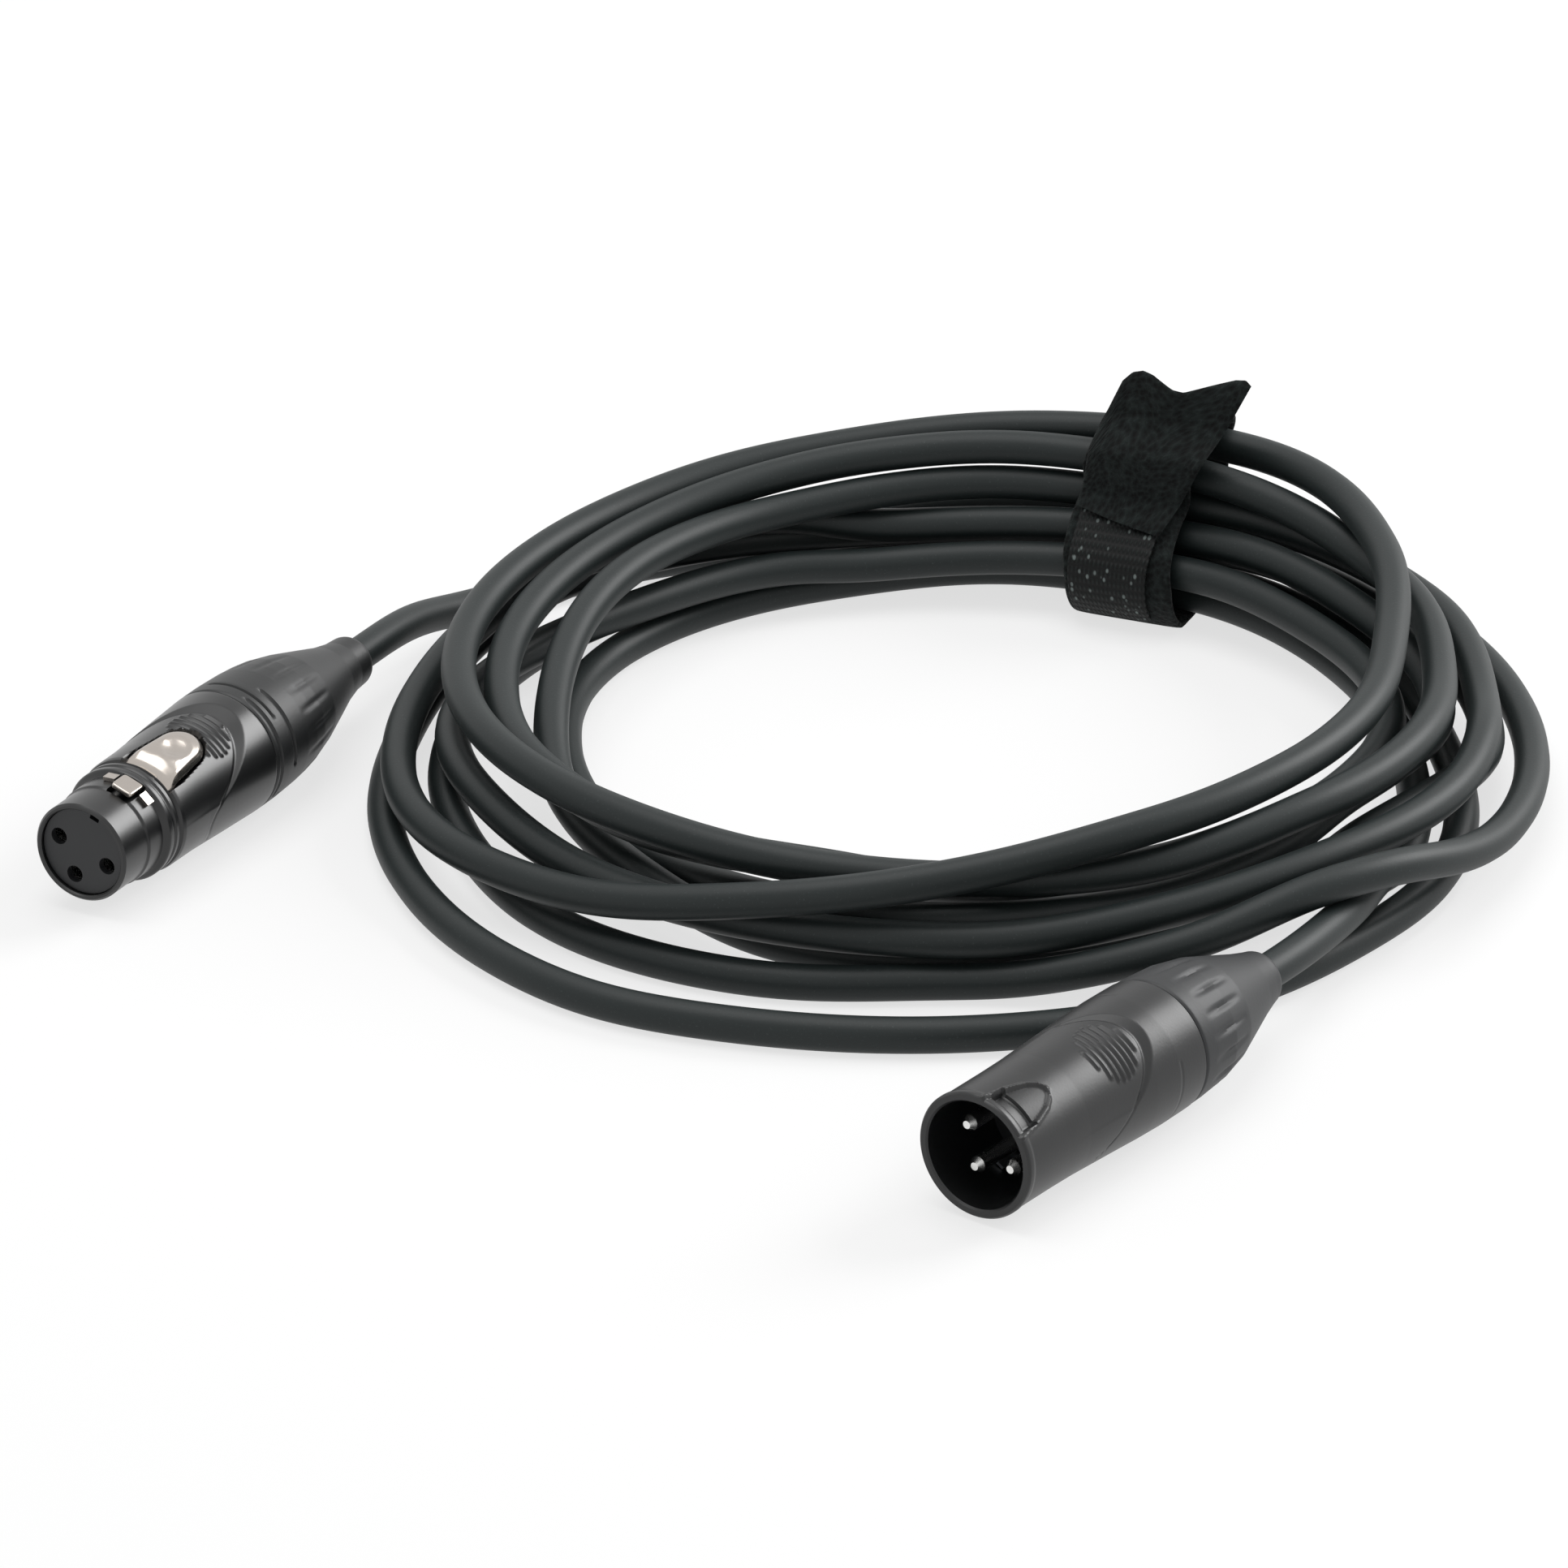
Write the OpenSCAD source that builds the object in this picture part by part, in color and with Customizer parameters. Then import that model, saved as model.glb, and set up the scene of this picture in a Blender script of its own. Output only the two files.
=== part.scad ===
// XLR microphone cable wound into a round coil, with a female and a male plug and a hook-and-loop strap.
// Lengths in mm, +Z up, the floor is Z = 0. The coil is seen from above and its cable runs clockwise.

/* [Cable] */
// Jacket diameter
cable_d = 5.5; // [5.3:0.1:6]
// Free gap planned between neighbouring turns
lay_gap = 0.5; // [0.5:0.05:0.8]
// Middle radius of the coil's bundle
coil_r = 78; // [76:1:90]

/* [Plugs] */
// Widest diameter of both housings
plug_d = 20.7; // [20.4:0.1:21.2]
// Turn of the female plug about its own axis, latch toward the viewer
female_roll = 21; // [0:1:30]
// Turn of the male plug about its own axis, latch window toward the viewer
male_roll = 32; // [0:1:36]
// Heading of the female plug, nose to boot
female_heading = 62; // [60:0.5:64]
// Heading of the male plug, mouth to boot
male_heading = 53; // [51:0.5:55]

/* [Latch] */
// Width of the push button
button_w = 8.6; // [7:0.2:9.4]
// Gap around the push button
button_gap = 0.2; // [0.1:0.05:0.4]

/* [Strap] */
// Width of the strap
strap_w = 20; // [16:1:22]
// Thickness of one strap layer
strap_t = 1.2; // [0.8:0.1:1.4]
// Height of the ends that stand above the bundle
tail_h = 10; // [6:1:14]

/* [Hidden] */

$fn = 64;
eps = 0.5;                          // overshoot of every cutting tool
flank = 30;                         // half the angle of one side of a six-sided tube
cable_r = cable_d / 2;
coil_x = 24.27;                     // centre of the coil
coil_y = 32.18;
grow = coil_r - 78;                 // the lanes below are written for this middle radius
lane_step = (cable_d + lay_gap) / 6; // and for this centre distance
lane_floor = 2.75;                  // height that the lanes call the floor
plug_h = plug_d / 2;                // both plug axes lie this high
flat_h = cable_r * cos(flank);      // centre height of a turn that lies on its flat
jacket_gap = 0.3;                   // radial gap between the jacket and the parts around it

// Lanes of the coil: [degrees clockwise from the left rear, radius, height], one row for each turn.
turn_1 = [[20, 90, 2.75], [45, 86.2, 8.1], [68, 86.3, 9], [90, 86.8, 8.6], [110, 88.2, 7.2],
          [135, 88.8, 6.4], [158, 89.4, 7.6], [169, 89.6, 10.5], [180, 89.4, 14.9], [187, 88, 15.3],
          [202, 84.5, 9.5], [225, 76.9, 2.75], [247, 82, 2.75], [270, 84, 2.75], [292, 81, 2.75],
          [315, 79.5, 2.75]];
turn_2 = [[0, 78.6, 2.75], [45, 79.3, 2.75], [90, 79.3, 2.75], [135, 76.5, 2.75], [146, 78.7, 2.75],
          [158, 81.5, 2.75], [169, 83.8, 2.75], [180, 85.2, 2.75], [202, 90.5, 2.75], [225, 94.2, 2.75],
          [247, 97.6, 2.75], [258, 99.5, 2.75], [270, 98, 2.75], [292, 92.8, 2.75], [315, 87.8, 2.75]];
turn_3 = [[0, 83.5, 8.9], [22, 80.3, 8.7], [45, 77.2, 8.6], [90, 80.5, 8.8], [110, 82, 8.2],
          [135, 82.2, 7.2], [146, 80.5, 9.1], [158, 75.5, 9.6], [169, 72, 9], [180, 71.4, 6.3],
          [202, 70.8, 3.8], [225, 70.4, 2.75], [247, 71, 3.2], [270, 68.3, 6.5], [292, 65.8, 9],
          [315, 62.7, 13.8]];
turn_4 = [[0, 66.8, 17.8], [22, 70.9, 17.2], [28, 71.5, 17.5], [34, 72.4, 17.7], [45, 74.1, 17.4],
          [68, 76.4, 16.3], [90, 81.2, 15], [110, 83.4, 14.1], [135, 81, 13.6], [146, 81.7, 15.2],
          [158, 82.2, 14.6], [180, 80.5, 14.8], [202, 78, 12.2], [225, 76, 9], [270, 77, 8.7],
          [292, 77.3, 9.4], [315, 78.5, 8.7]];
turn_5 = [[0, 68, 8.9], [22, 68.2, 8.3], [34, 67.2, 7.2], [45, 66.6, 7.2], [90, 67.8, 9],
          [135, 66.8, 9], [158, 62.6, 9.5], [180, 61.5, 11], [202, 62.4, 10], [225, 61.6, 10.8],
          [247, 62.6, 13], [270, 66.8, 13.3], [292, 70.6, 15.6], [315, 70.8, 16.5]];
turn_6 = [[0, 73.2, 19.4], [22, 75.1, 21.5], [34, 75.6, 22.7], [45, 76, 22.8], [68, 76.5, 22.3],
          [90, 78, 20.2], [110, 77.6, 18.5], [135, 74.3, 18.6], [158, 75.2, 20.5], [180, 74.4, 20.4],
          [191, 73.4, 18.9], [202, 72.1, 17], [225, 67.5, 14.9], [247, 70.8, 16.8], [270, 73.5, 18.5],
          [292, 76, 19], [315, 77.4, 18.7]];
turn_7 = [[0, 79.6, 20], [22, 81.3, 21.6], [45, 82.5, 23], [90, 82.8, 24.8], [110, 74.2, 25.4],
          [135, 66.6, 24], [158, 66.8, 24.1], [180, 68.6, 24.2], [202, 71.5, 23.2], [225, 73.6, 18.7],
          [247, 79.4, 14.6], [270, 85.6, 9.8], [292, 89, 8.9], [315, 86, 8.8]];
turn_8 = [[0, 79.6, 13.8], [22, 77.1, 13.8], [28, 75.6, 13], [34, 73.1, 11.7], [45, 71.4, 11.4],
          [68, 72, 12.1], [90, 73.5, 13], [110, 74.2, 12.3], [135, 74.4, 12.2], [158, 71, 15],
          [169, 69, 14.8], [180, 69.7, 13.2], [202, 70, 10.4], [225, 69.3, 9], [247, 65.3, 7.4],
          [270, 62, 5.5], [315, 61, 4.5]];
turn_9 = [[0, 69, 2.75], [22, 71.3, 2.75], [45, 72.9, 2.75], [68, 72.9, 2.75], [90, 72.5, 2.75],
          [135, 70, 2.75], [146, 71.3, 2.75], [158, 74.4, 2.75]];
turns = [turn_1, turn_2, turn_3, turn_4, turn_5, turn_6, turn_7, turn_8, turn_9];
lanes = [for (k = [0 : len(turns) - 1]) for (p = turns[k]) [p.x + 360 * k, p.y, p.z]];

coil_from = 20;                     // the coil's tube starts and ends at these angles
coil_to = 3020;
ring_step = 15;                     // 24 rings in each turn
coil_sides = 6;
lead_sides = 8;

// Free leads, in the same polar form: points between the plug and the coil.
female_via = [[-20, 95.2, 8.9], [-10, 95.3, 4.9], [2, 94, 2.75]];
male_via = [[152, 72.8, 2.75], [160, 74.9, 3], [169, 77.4, 4.6], [175, 80.5, 7.9], [182, 85.6, 9.1],
            [190, 91.4, 9.8]];

// Smooth curve through the lanes: slopes from the neighbours, the height never overshoots.
function rise(i, c) = (lanes[i + 1][c] - lanes[i][c]) / (lanes[i + 1].x - lanes[i].x);
function slope_r(i) =
    i == 0 ? rise(0, 1) : i == len(lanes) - 1 ? rise(i - 1, 1)
    : (rise(i - 1, 1) * (lanes[i + 1].x - lanes[i].x) + rise(i, 1) * (lanes[i].x - lanes[i - 1].x))
      / (lanes[i + 1].x - lanes[i - 1].x);
function slope_z(i) =
    i == 0 ? rise(0, 2) : i == len(lanes) - 1 ? rise(i - 1, 2)
    : rise(i - 1, 2) * rise(i, 2) <= 0 ? 0
    : 2 * rise(i - 1, 2) * rise(i, 2) / (rise(i - 1, 2) + rise(i, 2));
function hermite(t, h, a, b, ma, mb) =
    (2 * t ^ 3 - 3 * t ^ 2 + 1) * a + (t ^ 3 - 2 * t ^ 2 + t) * h * ma
    + (3 * t ^ 2 - 2 * t ^ 3) * b + (t ^ 3 - t ^ 2) * h * mb;
function span_of(u, i = 0) = i >= len(lanes) - 2 || lanes[i + 1].x > u ? i : span_of(u, i + 1);
function lane_at(u) =
    let (i = span_of(u), a = lanes[i], b = lanes[i + 1], h = b.x - a.x, t = (u - a.x) / h)
    [u, hermite(t, h, a.y, b.y, slope_r(i), slope_r(i + 1)),
        hermite(t, h, a.z, b.z, slope_z(i), slope_z(i + 1))];

// The bundle rides over the strap's lower layer, full height on a plateau and fading out on both sides.
strap_u = 68;                       // where the strap sits, in the lanes' degrees
strap_lift = strap_t + jacket_gap;
plateau = 12;
fade = 28;
function lift_at(u) =
    let (d = abs((u + 180 - strap_u) % 360 - 180))
    d <= plateau ? strap_lift
    : d >= plateau + fade ? 0
    : strap_lift * (1 + cos(180 * (d - plateau) / fade)) / 2;
function place_point(p) =
    let (r = coil_r + (p.y - 78) * lane_step, a = 135 - p.x)
    [coil_x + r * cos(a), coil_y + r * sin(a),
     flat_h + (p.z - lane_floor) * lane_step + lift_at(p.x)];

// A closed tube of n sides along a list of points, its flats level, nothing of it under the floor.
function unit(v) = v / norm(v);
function heading(c, i) = unit(c[min(i + 1, len(c) - 1)] - c[max(i - 1, 0)]);
function tube_ring(c, i, r, n) =
    let (w = heading(c, i), s = unit(cross(w, [0, 0, 1])), v = cross(s, w))
    [for (k = [0 : n - 1])
        let (a = 360 * (k + (n == 6 ? 0 : 0.5)) / n, p = c[i] + r * (cos(a) * s + sin(a) * v))
        [p.x, p.y, max(p.z, 0)]];
module tube(c, r, n) {
    rings = len(c);
    points = [for (i = [0 : rings - 1]) each tube_ring(c, i, r, n)];
    sides = [for (i = [0 : rings - 2]) for (k = [0 : n - 1])
        let (a = i * n + k, b = i * n + (k + 1) % n)
        each [[a, b, b + n], [a, b + n, a + n]]];
    front = [for (k = [1 : n - 2]) [0, k + 1, k]];
    back = [for (k = [1 : n - 2]) [(rings - 1) * n, (rings - 1) * n + k, (rings - 1) * n + k + 1]];
    polyhedron(points = points, faces = concat(sides, front, back));
}

coil_points = [for (u = [coil_from : ring_step : coil_to]) place_point(lane_at(u))];
coil_last = len(coil_points) - 1;
coil_head = unit(coil_points[1] - coil_points[0]);
coil_tail = unit(coil_points[coil_last] - coil_points[coil_last - 1]);

// Least distance between two straight pieces of the coil's centreline, turns a quarter apart or more.
function clamp(t) = min(max(t, 0), 1);
function apart(p1, q1, p2, q2) =
    let (d1 = q1 - p1, d2 = q2 - p2, r = p1 - p2, a = d1 * d1, e = d2 * d2, f = d2 * r, c = d1 * r,
         b = d1 * d2, den = a * e - b * b, s0 = den > 0.001 ? clamp((b * f - c * e) / den) : 0,
         t0 = (b * s0 + f) / e, t = clamp(t0),
         s = t0 < 0 ? clamp(-c / a) : t0 > 1 ? clamp((b - c) / a) : s0)
    norm(p1 + d1 * s - p2 - d2 * t);
near = 25;                          // segments with starts farther apart than this are not measured
least = min([for (i = [0 : coil_last - 7]) for (j = [i + 6 : coil_last - 1])
    if (norm(coil_points[i] - coil_points[j]) < near)
        apart(coil_points[i], coil_points[i + 1], coil_points[j], coil_points[j + 1])]);
function length_of(c) =
    [for (i = 0, s = 0; i < len(c); s = s + (i < len(c) - 1 ? norm(c[i + 1] - c[i]) : 0), i = i + 1) s]
        [len(c) - 1];

// Plugs: x runs along the axis from the mating face to the cable, z is up.
female_len = 80;
male_len = 71;
function on_floor(u, r) = [coil_x + (r + grow) * cos(135 - u), coil_y + (r + grow) * sin(135 - u), plug_h];
function toward(a) = [cos(a), sin(a), 0];
female_end = on_floor(-32, 97.5);
male_end = on_floor(200, 100.1);
female_face = female_end - female_len * toward(female_heading);
male_face = male_end - male_len * toward(male_heading);
female_jacket = 44;                 // the jacket ends here inside a plug
male_jacket = 44;
straight = 1.2 * cable_d;           // straight run at each end of a tube

function via(list) = [for (p = list) place_point(p)];
female_path = concat([female_face + female_jacket * toward(female_heading),
                      female_end, female_end + straight * toward(female_heading)],
                     via(female_via),
                     [coil_points[0] - straight * coil_head, coil_points[0]]);
male_path = concat([coil_points[coil_last], coil_points[coil_last] + straight * coil_tail],
                   via(male_via),
                   [male_end + straight * toward(male_heading), male_end,
                    male_face + male_jacket * toward(male_heading)]);
echo(least_gap = least - cable_d, coil_length = length_of(coil_points),
     female_lead_length = length_of(female_path), male_lead_length = length_of(male_path));

module female_frame() {
    translate(female_face) rotate([0, 0, female_heading]) rotate([female_roll, 0, 0]) children();
}
module male_frame() {
    translate(male_face) rotate([0, 0, male_heading]) rotate([male_roll, 0, 0]) children();
}
// Turns a solid built along z so that it lies along the plug's axis.
module along() {
    rotate([0, 90, 0]) children();
}
// A place on a circle around the axis, the angle counted from the top.
module around(a, r, x) {
    along() rotate([0, 0, -a]) translate([-r, 0, x]) children();
}
// A body of revolution around the axis from a list of [radius, place along the axis].
module turned(outline) {
    along() rotate_extrude() polygon(outline);
}

// Contact layout of a three-pole XLR: two on a diameter, the third on the side away from the latch.
contact_circle = 4.45;
contact_angles = [90, 270, 180];
pin_r = 1.2;
pin_gap = 0.05;                     // radial gap of a pin or contact in its insert
socket_r = 1.9;
nose_r = 7.9;
nose_bore_r = 7;
shell_bore_r = 8.15;
back_bore_r = 8.6;
fit_gap = 0.1;                      // radial gap of an insert in its housing
spigot_gap = 0.15;                  // radial gap of a boot's spigot in its housing
spigot_len = 5;
seam = 0.2;                         // visible gap between housing and boot
shell_step = 34;                    // the bore behind this place is wider, for the spigot
pinch_r = 6.4;                      // outer radius of a cable chuck
chuck_len = 12;

// Female housing
nose_len = 6.4;                     // straight nose that enters the mating plug
neck_r = 8.15;
shoulder = 10.6;
lip_r = 9.1;
lip_to = 13.7;
lip_groove = 0.45;
slot_from = 14.5;
slot_to = 28.4;
slot_floor = 5.8;
hook_w = 3.6;
pocket_from = 6.6;
female_seam = 40.3;
// Outline of the push button seen from the top: straight sides and a round rear end
module button_plan(from, to, w) {
    translate([from, -w / 2]) square([to - w / 2 - from, w]);
    translate([to - w / 2, 0]) circle(r = w / 2);
}
module female_housing() {
    color("#17181a") female_frame() difference() {
        turned([[nose_bore_r, 0], [nose_r, 0], [nose_r, nose_len], [neck_r, nose_len + 0.4],
                [neck_r, shoulder],
                [lip_r, shoulder + 0.6], [lip_r, lip_to], [lip_r - lip_groove, lip_to + 0.1],
                [lip_r - lip_groove, lip_to + 0.5], [9.3, lip_to + 0.7], [9.45, 22],
                [plug_h - 0.05, 39], [plug_h, female_seam], [back_bore_r, female_seam],
                [back_bore_r, shell_step], [nose_bore_r, shell_step]]);
        translate([0, 0, slot_floor]) linear_extrude(height = plug_h)
            button_plan(slot_from, slot_to, button_w + 2 * button_gap);
        translate([pocket_from, -hook_w / 2 - button_gap, slot_floor])
            cube([slot_from - pocket_from + eps, hook_w + 2 * button_gap, plug_h]);
    }
}

// Female insert: a black body with three holes and a flat under the latch
insert_r = nose_bore_r - fit_gap;
insert_from = 0.8;
insert_to = 30;
flat_gap = 0.1;                     // the insert's flat lies this far under the slot's floor
key_w = 1.6;                        // width of the slit in the insert's face
key_len = 3.2;
contact_mouth = 0.15;               // radial gap around a pin at the mouth of its hole
face_t = 1.2;                       // wall in front of the contacts
module female_insert() {
    color("#0f1011") female_frame() difference() {
        translate([insert_from, 0, 0]) along() cylinder(r = insert_r, h = insert_to - insert_from);
        for (a = contact_angles) {
            around(a, contact_circle, insert_from + face_t)
                cylinder(r = socket_r + pin_gap, h = insert_to);
            around(a, contact_circle, 0) cylinder(r = pin_r + contact_mouth, h = insert_to);
        }
        translate([pocket_from + face_t, -insert_r - eps, slot_floor - flat_gap])
            cube([insert_to, 2 * insert_r + 2 * eps, insert_r]);
        translate([0, -key_w / 2, insert_r - 1]) cube([key_len, key_w, 2]);
    }
}

socket_len = 28;
socket_from = insert_from + face_t + 0.2;
cup_len = 3;                        // solder cups of sockets and pins
cup_r = 0.9;
module socket_contact(i) {
    color("#c9ccd0") female_frame() around(contact_angles[i], contact_circle, socket_from)
        difference() {
            cylinder(r = socket_r, h = socket_len);
            translate([0, 0, -eps]) cylinder(r = pin_r + pin_gap, h = 17 + eps);
            translate([0, 0, socket_len - cup_len]) cylinder(r = cup_r, h = cup_len + eps);
        }
}
module socket_contact_1() { socket_contact(0); }
module socket_contact_2() { socket_contact(1); }
module socket_contact_3() { socket_contact(2); }

// Latch: a bright push button with a hook in front, it turns on a round bar at its rear end
button_r = 9.9;
button_floor = 7.6;
hook_floor = 8.2;
hook_h = 0.9;
bar_r = 0.7;
bar_x = slot_to - button_gap - bar_r - 0.1;
bar_z = 7.9;
bar_len = 2.4;
module female_latch() {
    color("#d5d8db") female_frame() union() {
        intersection() {
            translate([0, 0, button_floor]) linear_extrude(height = plug_h)
                button_plan(slot_from + button_gap, slot_to - button_gap, button_w);
            along() cylinder(r = button_r, h = female_seam);
        }
        translate([pocket_from + button_gap, -hook_w / 2, hook_floor])
            cube([slot_from - pocket_from + 1, hook_w, hook_h]);
        translate([bar_x, bar_len / 2, bar_z]) rotate([90, 0, 0]) cylinder(r = bar_r, h = bar_len);
    }
}

// Latch return spring: one bowed leaf between insert and button
leaf_w = 4;
leaf_t = 0.3;
leaf_from = 17.2;
leaf_len = 9.6;
leaf_rise = 1;
module latch_spring() {
    color("#b9bdc2") female_frame() translate([leaf_from, leaf_w / 2, slot_floor - 0.05])
        rotate([90, 0, 0])
        linear_extrude(height = leaf_w)
            polygon([[0, 0], [0, leaf_t], [leaf_len / 2, leaf_rise + leaf_t], [leaf_len, leaf_t],
                     [leaf_len, 0], [leaf_len / 2, leaf_rise]]);
}

// Ground tabs: two small plates on the nose, one on each side of the hook
tab_angle = 22;
tab_w = 2;
tab_len = 1.7;
tab_t = 0.6;
module ground_tabs() {
    color("#d5d8db") female_frame() for (a = [-tab_angle, tab_angle])
        rotate([-a, 0, 0]) translate([shoulder - 0.1 - tab_len, -tab_w / 2, neck_r + 0.05])
            cube([tab_len, tab_w, tab_t]);
}

// Cable chuck: a split sleeve inside the boot
module chuck() {
    difference() {
        along() cylinder(r = pinch_r, h = chuck_len);
        translate([-eps, 0, 0]) along() cylinder(r = cable_r + jacket_gap, h = chuck_len + 2 * eps);
        for (a = [45, 135]) rotate([a, 0, 0]) translate([4, -pinch_r - eps, -0.6])
            cube([chuck_len, 2 * pinch_r + 2 * eps, 1.2]);
    }
}
female_chuck_from = 47;
male_chuck_from = 46;
module female_chuck() {
    color("#2b2d30") female_frame() translate([female_chuck_from, 0, 0]) chuck();
}
module male_chuck() {
    color("#2b2d30") male_frame() translate([male_chuck_from, 0, 0]) chuck();
}

// Boots: a spigot in the housing, a tapering sleeve with flutes, a bore for the cable.
// A taper lists [radius, share of the way from the seam to the cable end].
male_seam = 42.7;
flutes = 18;
female_taper = [[10.25, 0.1], [10.1, 0.245], [9.45, 0.395], [8.35, 0.522], [6.6, 0.673], [5.15, 0.8],
                [4.3, 0.9], [4.2, 1]];
male_taper = [[10.1, 0.12], [9.75, 0.293], [8.75, 0.47], [7.1, 0.647], [5.45, 0.823], [4.25, 1]];
module boot(taper, start_r, from, len, cavity_to, flute_x, flute_r, flute_tilt) {
    sleeve_r = cable_r + jacket_gap;
    spigot_r = back_bore_r - spigot_gap;
    difference() {
        turned(concat([[sleeve_r, len], [sleeve_r, cavity_to + 2], [pinch_r + jacket_gap, cavity_to],
                       [pinch_r + jacket_gap, from - spigot_len], [spigot_r, from - spigot_len],
                       [spigot_r, from + seam], [start_r, from + seam]],
                      [for (p = taper) [p.x, from + p.y * (len - from)]]));
        for (k = [0 : flutes - 1])
            around(k * 360 / flutes, flute_r, flute_x) rotate([0, flute_tilt, 0])
                cylinder(r = 0.7, h = 9, $fn = 24);
    }
}
module female_boot() {
    color("#1c1d1f") female_frame()
        boot(female_taper, plug_h, female_seam, female_len, female_chuck_from + chuck_len + 1,
             51, 10.55, 10);
}
module male_boot() {
    color("#1c1d1f") male_frame()
        boot(male_taper, plug_h - 0.15, male_seam, male_len, male_chuck_from + chuck_len + 0.5,
             46, 10.55, 8.5);
}

// Wires between the contacts and the end of the jacket
wire_r = 0.6;
wire_pitch = 1.4;                   // how far from the axis they leave the jacket
module wire(a, from, to) {
    drop = contact_circle - wire_pitch;
    run = to - from;
    around(a, contact_circle, from) rotate([0, atan(drop / run), 0])
        cylinder(r = wire_r, h = sqrt(run ^ 2 + drop ^ 2), $fn = 24);
}
wire_gap = 0.1;                     // a wire starts this far behind its contact
female_wire_from = socket_from + socket_len + wire_gap;
module female_wire(i) {
    female_frame() wire(contact_angles[i], female_wire_from, female_jacket - jacket_gap);
}
module male_wire(i) {
    male_frame() wire(contact_angles[i], pin_to + wire_gap, male_jacket - jacket_gap);
}
module female_hot_wire() { color("#b5312c") female_wire(1); }
module female_cold_wire() { color("#e6e2da") female_wire(0); }
module female_shield_wire() { color("#c58654") female_wire(2); }
module male_hot_wire() { color("#b5312c") male_wire(0); }
module male_cold_wire() { color("#e6e2da") male_wire(1); }
module male_shield_wire() { color("#c58654") male_wire(2); }

// Male housing: a tube with a rim, a latch window and a grooved rear end
mouth_len = 3;                      // the mouth is straight for this length
relief_r = 8.6;                     // behind it the bore is wider, as far as the insert
relief_to = 14;
window_from = 3.3;
window_len = 2;
window_w = 7.2;
module male_housing() {
    color("#202124") male_frame() difference() {
        turned([[shell_bore_r, 0], [9.6, 0], [9.6, 1.2], [9.45, 1.8], [9.48, 10], [9.55, 15],
                [9.75, 20], [9.95, 25], [10.2, 30.5], [plug_h, 36], [plug_h - 0.1, 41],
                [plug_h - 0.15, male_seam], [back_bore_r, male_seam], [back_bore_r, shell_step],
                [shell_bore_r + fit_gap, shell_step], [shell_bore_r + fit_gap, relief_to],
                [relief_r, relief_to], [relief_r, mouth_len], [shell_bore_r, mouth_len]]);
        translate([window_from, -window_w / 2, 0]) cube([window_len, window_w, plug_h + eps]);
    }
}

male_insert_r = shell_bore_r;
male_insert_from = 15.5;
male_insert_to = 31;
strip_w = 3;
strip_t = 0.45;
strip_slot = 1.35;                  // depth of the insert's slot for the ground strip
strip_gap = 0.15;
strip_from = 11;
strip_len = 21;
module male_insert() {
    color("#0f1011") male_frame() difference() {
        translate([male_insert_from, 0, 0]) along()
            cylinder(r = male_insert_r, h = male_insert_to - male_insert_from);
        for (a = contact_angles) around(a, contact_circle, 0)
            cylinder(r = pin_r + pin_gap, h = 40);
        translate([male_insert_from - eps, -strip_w / 2 - 0.2, -male_insert_r - eps])
            cube([strip_len, strip_w + 0.4, strip_slot]);
    }
}

pin_from = 3.4;
pin_to = 38;
pin_tip_r = 0.6;
pin_tip_len = 0.9;
module contact_pin(i) {
    color("#d8dadd") male_frame() around(contact_angles[i], contact_circle, 0) difference() {
        rotate_extrude() polygon([[0, pin_from], [pin_tip_r, pin_from], [pin_r, pin_from + pin_tip_len],
                                  [pin_r, pin_to], [0, pin_to]]);
        translate([0, 0, pin_to - cup_len]) cylinder(r = cup_r, h = cup_len + eps);
    }
}
module contact_pin_1() { contact_pin(0); }
module contact_pin_2() { contact_pin(1); }
module contact_pin_3() { contact_pin(2); }

// Ground strip: a thin plate in the insert's slot that touches the shell of the mating plug
module male_ground_strip() {
    color("#c9ccd0") male_frame() translate([strip_from, -strip_w / 2, -male_insert_r + strip_gap])
        cube([strip_len, strip_w, strip_t]);
}

module cable_female_lead() { color("#26282a") tube(female_path, cable_r, lead_sides); }
module cable_coil() { color("#26282a") tube(coil_points, cable_r, coil_sides); }
module cable_male_lead() { color("#26282a") tube(male_path, cable_r, lead_sides); }

// Strap: its section stands across the bundle, x of the outlines is the distance from the coil's centre.
strap_in = [[67.6, strap_t], [89.8, strap_t], [90, 5], [88, 28], [84.5, 30.2], [77, 29.6], [72.2, 27.4],
            [72.2, 19.6], [67.6, 17], [62.2, 11.2], [62.6, 7.2]];
strap_out = [[66.8, 0], [91, 0], [91.3, 5], [89.2, 28.6], [85, 31.5], [76.7, 30.9], [71, 28.2],
             [71, 20.4], [66.8, 18], [60.9, 11.6], [61.4, 6.8]];
function shifted(list) = [for (p = list) [p.x + grow, p.y]];
module strap_frame() {
    translate([coil_x, coil_y, 0]) rotate([0, 0, 135 - strap_u])
        translate([0, strap_w / 2, 0]) rotate([90, 0, 0]) children();
}
module strap_band() {
    color("#141517") strap_frame() linear_extrude(height = strap_w) difference() {
        polygon(shifted(strap_out));
        polygon(shifted(strap_in));
    }
}
// Second layer: the hook side of the strap, laid over the inner face of the loop
layer_gap = 0.1;
module strap_hook_layer() {
    color("#141517") strap_frame() translate([0, 0, 1]) linear_extrude(height = strap_w - 2)
        polygon(shifted([[66.5, 18.1], [60.6, 11.9], [61.1, 6.5], [59.9, 6.1], [59.3, 12.2], [65.8, 19]]));
}
// Ends of the strap that stand up above the bundle
module strap_tail() {
    color("#141517") strap_frame() linear_extrude(height = strap_w)
        polygon(shifted([[70.9, 28.3], [76.6, 31], [77.6, 31.2], [76, 31 + tail_h * 0.5],
                         [76.6, 31 + tail_h], [75.2, 31 + tail_h], [74.2, 32], [69.7, 29.2],
                         [69.7, 20], [70.8, 20.6]]));
}

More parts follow.
